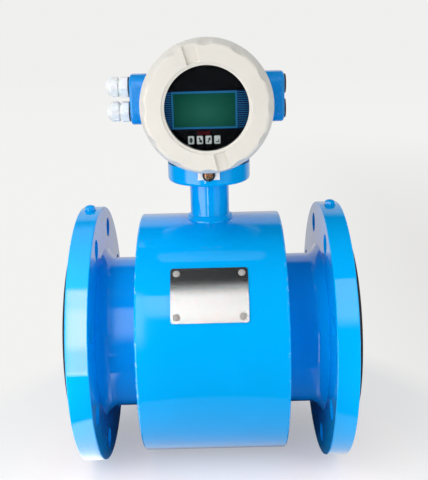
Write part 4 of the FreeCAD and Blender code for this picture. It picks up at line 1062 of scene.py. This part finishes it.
class StudioPaper(Finish):
    """The table's paper: what the eye, the soft light and the gloss each see of it."""

    def __init__(self):
        super().__init__("studio_paper")
        self.tree.nodes.remove(self.main)
        self.across, self.along = self.axis_value(0), self.axis_value(1)
        forward = self.maths("ADD", self.along, FLOOR_MIDDLE)
        squares = self.maths("ADD", self.maths("POWER", self.across, 2.0),
                             self.maths("POWER", forward, 2.0))
        self.radius = self.maths("SQRT", squares)
        self.backdrop_share = self.spread(self.radius, 0.0, 1.0, *TABLE_EDGE)
        path = self.add("ShaderNodeLightPath")
        direct = self.maths("MAXIMUM", path.outputs["Is Camera Ray"], path.outputs["Is Transmission Ray"])
        bounce = self.shader("ShaderNodeBsdfDiffuse", Color=(0.84, 0.80, 0.80))
        seen = self.mix_shader(direct, bounce, self.shown())
        surface = self.mix_shader(path.outputs["Is Glossy Ray"], seen, self.mirrored())
        self.link(surface, self.output.inputs["Surface"])

    def shown(self):
        """Paper that keeps the shadow, lifted by a painted glow in front and far out that is weaker near
        and under the object, then the backdrop with painted shade toward the right.
        """
        open_colour = self.mix(self.mottle(3.0, 2), (0.53, 0.525, 0.525), (0.55, 0.545, 0.545))
        # Near the object the paper is painted a warmer, paler colour, which offsets the blue light that
        # the enamel bounces onto it.
        near_colour = (0.73, 0.61, 0.57)
        out_share = self.spread(self.radius, 0.0, 1.0, 0.10, 0.24)
        paper = self.shader("ShaderNodeBsdfDiffuse", Color=self.mix(out_share, near_colour, open_colour))
        # Painted light: an emitted glow lifts the paper, weaker near and under the object, where it
        # paints a deeper shadow than the lamps cast.
        painted_glow = self.maths("MAXIMUM", self.spread(self.radius, 0.36, 0.48, 0.08, 0.22),
                          self.spread(self.along, 0.50, 0.36, -0.10, -0.03))
        table = self.add_shader(paper, self.shader("ShaderNodeEmission", Strength=painted_glow))
        # Painted shade: the backdrop is darkened toward the right, fading out far away.
        shade = self.maths("MULTIPLY", self.spread(self.across, 0.0, 1.0, 0.05, 0.45),
                           self.spread(self.radius, 1.0, 0.0, 0.7, 2.6))
        tone = self.mix(shade, (0.895, 0.895, 0.885), (0.77, 0.765, 0.755))
        tone = self.mix(self.spread(self.radius, 0.0, 1.0, 2.0, 6.0), tone, (0.87, 0.87, 0.861))
        backdrop = self.shader("ShaderNodeEmission", Color=tone)
        return self.mix_shader(self.backdrop_share, table, backdrop)

    def mirrored(self):
        """What gloss sees: a sheen under the object, shade in the gaps, and nothing far in front."""
        beside = self.maths("ABSOLUTE", self.across)
        open_floor = self.maths("MAXIMUM", self.spread(beside, 1.0, 0.10, *GAP_NEAR),
                                self.spread(beside, 0.10, 1.0, *GAP_FAR))
        glare = self.maths("MULTIPLY", self.spread(self.along, 0.25, 0.65, -0.27, -0.09),
                           self.spread(self.across, 1.2, 0.9, -0.08, 0.08))
        glare = self.maths("MULTIPLY", glare, self.spread(self.across, 1.0, 1.5, *GAP_FAR))
        left_glare = self.maths("MULTIPLY", self.spread(self.along, 3.8, 2.3, -0.24, -0.11),
                                self.spread(self.across, 1.0, 0.0, -0.135, -0.118))
        glare = self.maths("MAXIMUM", glare, left_glare)
        glare = self.maths("MULTIPLY", glare, self.spread(self.along, 1.0, 0.05, -0.06, -0.02))
        strength = self.maths("MULTIPLY", glare, open_floor)
        sheen = self.shader("ShaderNodeEmission", Color=(0.96, 0.97, 1.0), Strength=strength)
        far_wall = self.shader("ShaderNodeEmission", Color=(0.60, 0.60, 0.61))
        table = self.mix_shader(self.backdrop_share, sheen, far_wall)
        curve = self.maths("MULTIPLY", self.maths("POWER", self.across, 2.0), 3.0)
        front = self.maths("SUBTRACT", self.along, curve)
        held = self.spread(front, 0.0, 1.0, -0.272, -0.258)
        return self.mix_shader(held, self.shader("ShaderNodeBsdfTransparent"), table)


class StudioRoom(Nodes):
    """The room round the table: what the eye, the soft light and the gloss each see of it."""

    def __init__(self, tree):
        super().__init__(tree)
        split = self.add("ShaderNodeSeparateXYZ")
        self.link(self.add("ShaderNodeTexCoord").outputs["Generated"], split.inputs[0])
        self.sideways, backward, upward = split.outputs
        forward = self.maths("MULTIPLY", backward, -1.0)
        self.turn = self.maths("DEGREES", self.maths("ARCTAN2", self.sideways, forward))
        self.height = self.maths("DEGREES", self.maths("ARCSINE", upward))
        self.in_front = self.ramp(backward, -0.1, 0.1, 1, 0)
        soft = self.shader("ShaderNodeBackground", Color=ROOM_LIGHT,
                           Strength=self.ramp(upward, 0.15, 1.0, 0.04, 0.62))
        shown = self.shader("ShaderNodeBackground", Color=(1.0, 1.0, 0.99), Strength=0.87)
        path = self.add("ShaderNodeLightPath")
        direct = self.maths("MAXIMUM", path.outputs["Is Camera Ray"], path.outputs["Is Transmission Ray"])
        unseen = self.mix_shader(path.outputs["Is Glossy Ray"], soft, self.mirrored())
        output = self.add("ShaderNodeOutputWorld")
        self.link(self.mix_shader(direct, unseen, shown), output.inputs["Surface"])

    def band(self, source, low, low_edge, high, high_edge):
        """1 between two ends, each with its softness."""
        return self.maths("MULTIPLY", self.ramp(source, low - low_edge, low + low_edge),
                          self.ramp(source, high - high_edge, high + high_edge, 1, 0))

    def curtain(self, source, strength, left, right, side_edge, low, low_edge, high, high_edge):
        """Strength of one lit curtain."""
        sides = self.band(source, left, side_edge, right, side_edge)
        ends = self.band(self.height, low, low_edge, high, high_edge)
        return self.maths("MULTIPLY", self.maths("MULTIPLY", sides, ends), strength)

    def hung(self, source, rows, cover):
        """Strength of several curtains, each held back to where the cover is 1."""
        total = 0.0
        for row in rows:
            total = self.maths("ADD", total, self.maths("MULTIPLY", self.curtain(source, *row), cover))
        return total

    def mirrored(self):
        """Pale wall behind, lit curtains in front and overhead."""
        wall = self.maths("MULTIPLY", self.ramp(self.maths("ABSOLUTE", self.turn), 112, 140),
                          self.ramp(self.height, 34, 44, 0.75, 0.0))
        curtains = self.hung(self.sideways, LYING_CURTAINS, self.in_front)
        curtains = self.maths("ADD", curtains, self.hung(self.turn, UPRIGHT_CURTAINS, self.in_front))
        curtains = self.maths("ADD", curtains, self.hung(self.sideways, OVERHEAD_CURTAINS, 1.0))
        shifted = self.maths("ADD", self.sideways, COUNTER_SHIFT)
        lights = (
            (CURTAIN_LIGHT, curtains),
            (RIM_LIGHT, self.hung(self.sideways, RIM_CURTAINS, self.in_front)),
            (COUNTER_LIGHT, self.hung(shifted, RIM_CURTAINS, self.in_front)),
        )
        total = self.shader("ShaderNodeBackground", Color=ROOM_LIGHT, Strength=wall)
        for tone, strength in lights:
            light = self.shader("ShaderNodeBackground", Color=tone, Strength=strength)
            total = self.add_shader(total, light)
        return total


def aim(lamp, target):
    """Turns a lamp to a point."""
    direction = Vector(target) - lamp.location
    lamp.rotation_euler = direction.to_track_quat("-Z", "Y").to_euler()


class METER_OT_stage(bpy.types.Operator):
    """Set the floor, the studio light and the camera"""
    bl_idname = "meter.stage"
    bl_label = "Stage"

    def execute(self, context):
        self.floor()
        self.world()
        self.lamps()
        self.camera()
        context.scene.view_settings.view_transform = "Standard"
        return {"FINISHED"}

    def floor(self):
        """White table top that runs out into the backdrop, so that no horizon shows."""
        bm = bmesh.new()
        bmesh.ops.create_grid(bm, x_segments=8, y_segments=8, size=FLOOR_SIZE)
        mesh = bpy.data.meshes.new("studio_floor")
        bm.to_mesh(mesh)
        bm.free()
        mesh.materials.append(StudioPaper().material)
        floor = bpy.data.objects.new("studio_floor", mesh)
        floor.location.z = FLOOR_Z - FLOOR_GAP
        bpy.context.scene.collection.objects.link(floor)

    def world(self):
        """Dim room light; gloss and metal see a pale wall behind and lit curtains in front."""
        world = bpy.data.worlds.new("studio_world")
        bpy.context.scene.world = world
        world.use_nodes = True
        world.node_tree.nodes.clear()
        StudioRoom(world.node_tree)

    def lamps(self):
        """Softboxes close to both sides, so that the grooves beside the drum fall into shade."""
        for name, place, width, height, power, target in LAMPS:
            data = bpy.data.lights.new(name, "AREA")
            data.shape = "RECTANGLE"
            data.size = width
            data.size_y = height
            data.energy = power
            lamp = bpy.data.objects.new(name, data)
            lamp.location = place
            lamp.visible_glossy = False
            lamp.visible_camera = False
            lamp.visible_transmission = False
            aim(lamp, target)
            bpy.context.scene.collection.objects.link(lamp)

    def camera(self):
        """Camera in front and a little above, with a small roll."""
        data = bpy.data.cameras.new("product_camera")
        data.lens = CAMERA_LENS
        data.sensor_width = CAMERA_FILM
        camera = bpy.data.objects.new("product_camera", data)
        level_reach = math.cos(CAMERA_PITCH)
        ahead = Vector((math.sin(CAMERA_YAW) * level_reach, math.cos(CAMERA_YAW) * level_reach,
                        math.sin(CAMERA_PITCH)))
        level = Vector((math.cos(CAMERA_YAW), -math.sin(CAMERA_YAW), 0))
        upright = level.cross(ahead)
        right = level * math.cos(CAMERA_ROLL) + upright * math.sin(CAMERA_ROLL)
        above = right.cross(ahead)
        matrix = Matrix((right, above, -ahead)).transposed().to_4x4()
        matrix.translation = Vector(CAMERA_PLACE)
        camera.matrix_world = matrix
        bpy.context.scene.collection.objects.link(camera)
        bpy.context.scene.camera = camera


# ---- Sidebar -----------------------------------------------------------------------------------
class METER_PT_sidebar(bpy.types.Panel):
    """Settings and steps of the flow meter"""
    bl_idname = "METER_PT_sidebar"
    bl_label = "Flow Meter"
    bl_space_type = "VIEW_3D"
    bl_region_type = "UI"
    bl_category = "Flow Meter"

    def draw(self, context):
        for name in dict(GROUPS):
            box = self.layout.box()
            group = getattr(context.scene, name)
            for setting in group.__annotations__:
                box.prop(group, setting)
        for step in STEPS:
            self.layout.operator(step.bl_idname)


STEPS = (METER_OT_stage, METER_OT_sensor, METER_OT_neck, METER_OT_nameplate, METER_OT_earth,
         METER_OT_housing, METER_OT_covers, METER_OT_display, METER_OT_entries, METER_OT_inside)
GROUPS = (("meter_colours", MeterColours), ("meter_finish", MeterFinish),
          ("meter_sizes", MeterSizes))


def register():
    """Adds the settings, the steps and the sidebar."""
    for name, group in GROUPS:
        bpy.utils.register_class(group)
        setattr(bpy.types.Scene, name, PointerProperty(type=group))
    for step in STEPS:
        bpy.utils.register_class(step)
    bpy.utils.register_class(METER_PT_sidebar)


def unregister():
    """Takes them away again."""
    bpy.utils.unregister_class(METER_PT_sidebar)
    for step in reversed(STEPS):
        bpy.utils.unregister_class(step)
    for name, group in reversed(GROUPS):
        delattr(bpy.types.Scene, name)
        bpy.utils.unregister_class(group)


def main():
    """Runs every step in order."""
    register()
    for step in STEPS:
        area, name = step.bl_idname.split(".")
        getattr(getattr(bpy.ops, area), name)()


if __name__ == "__main__":
    main()
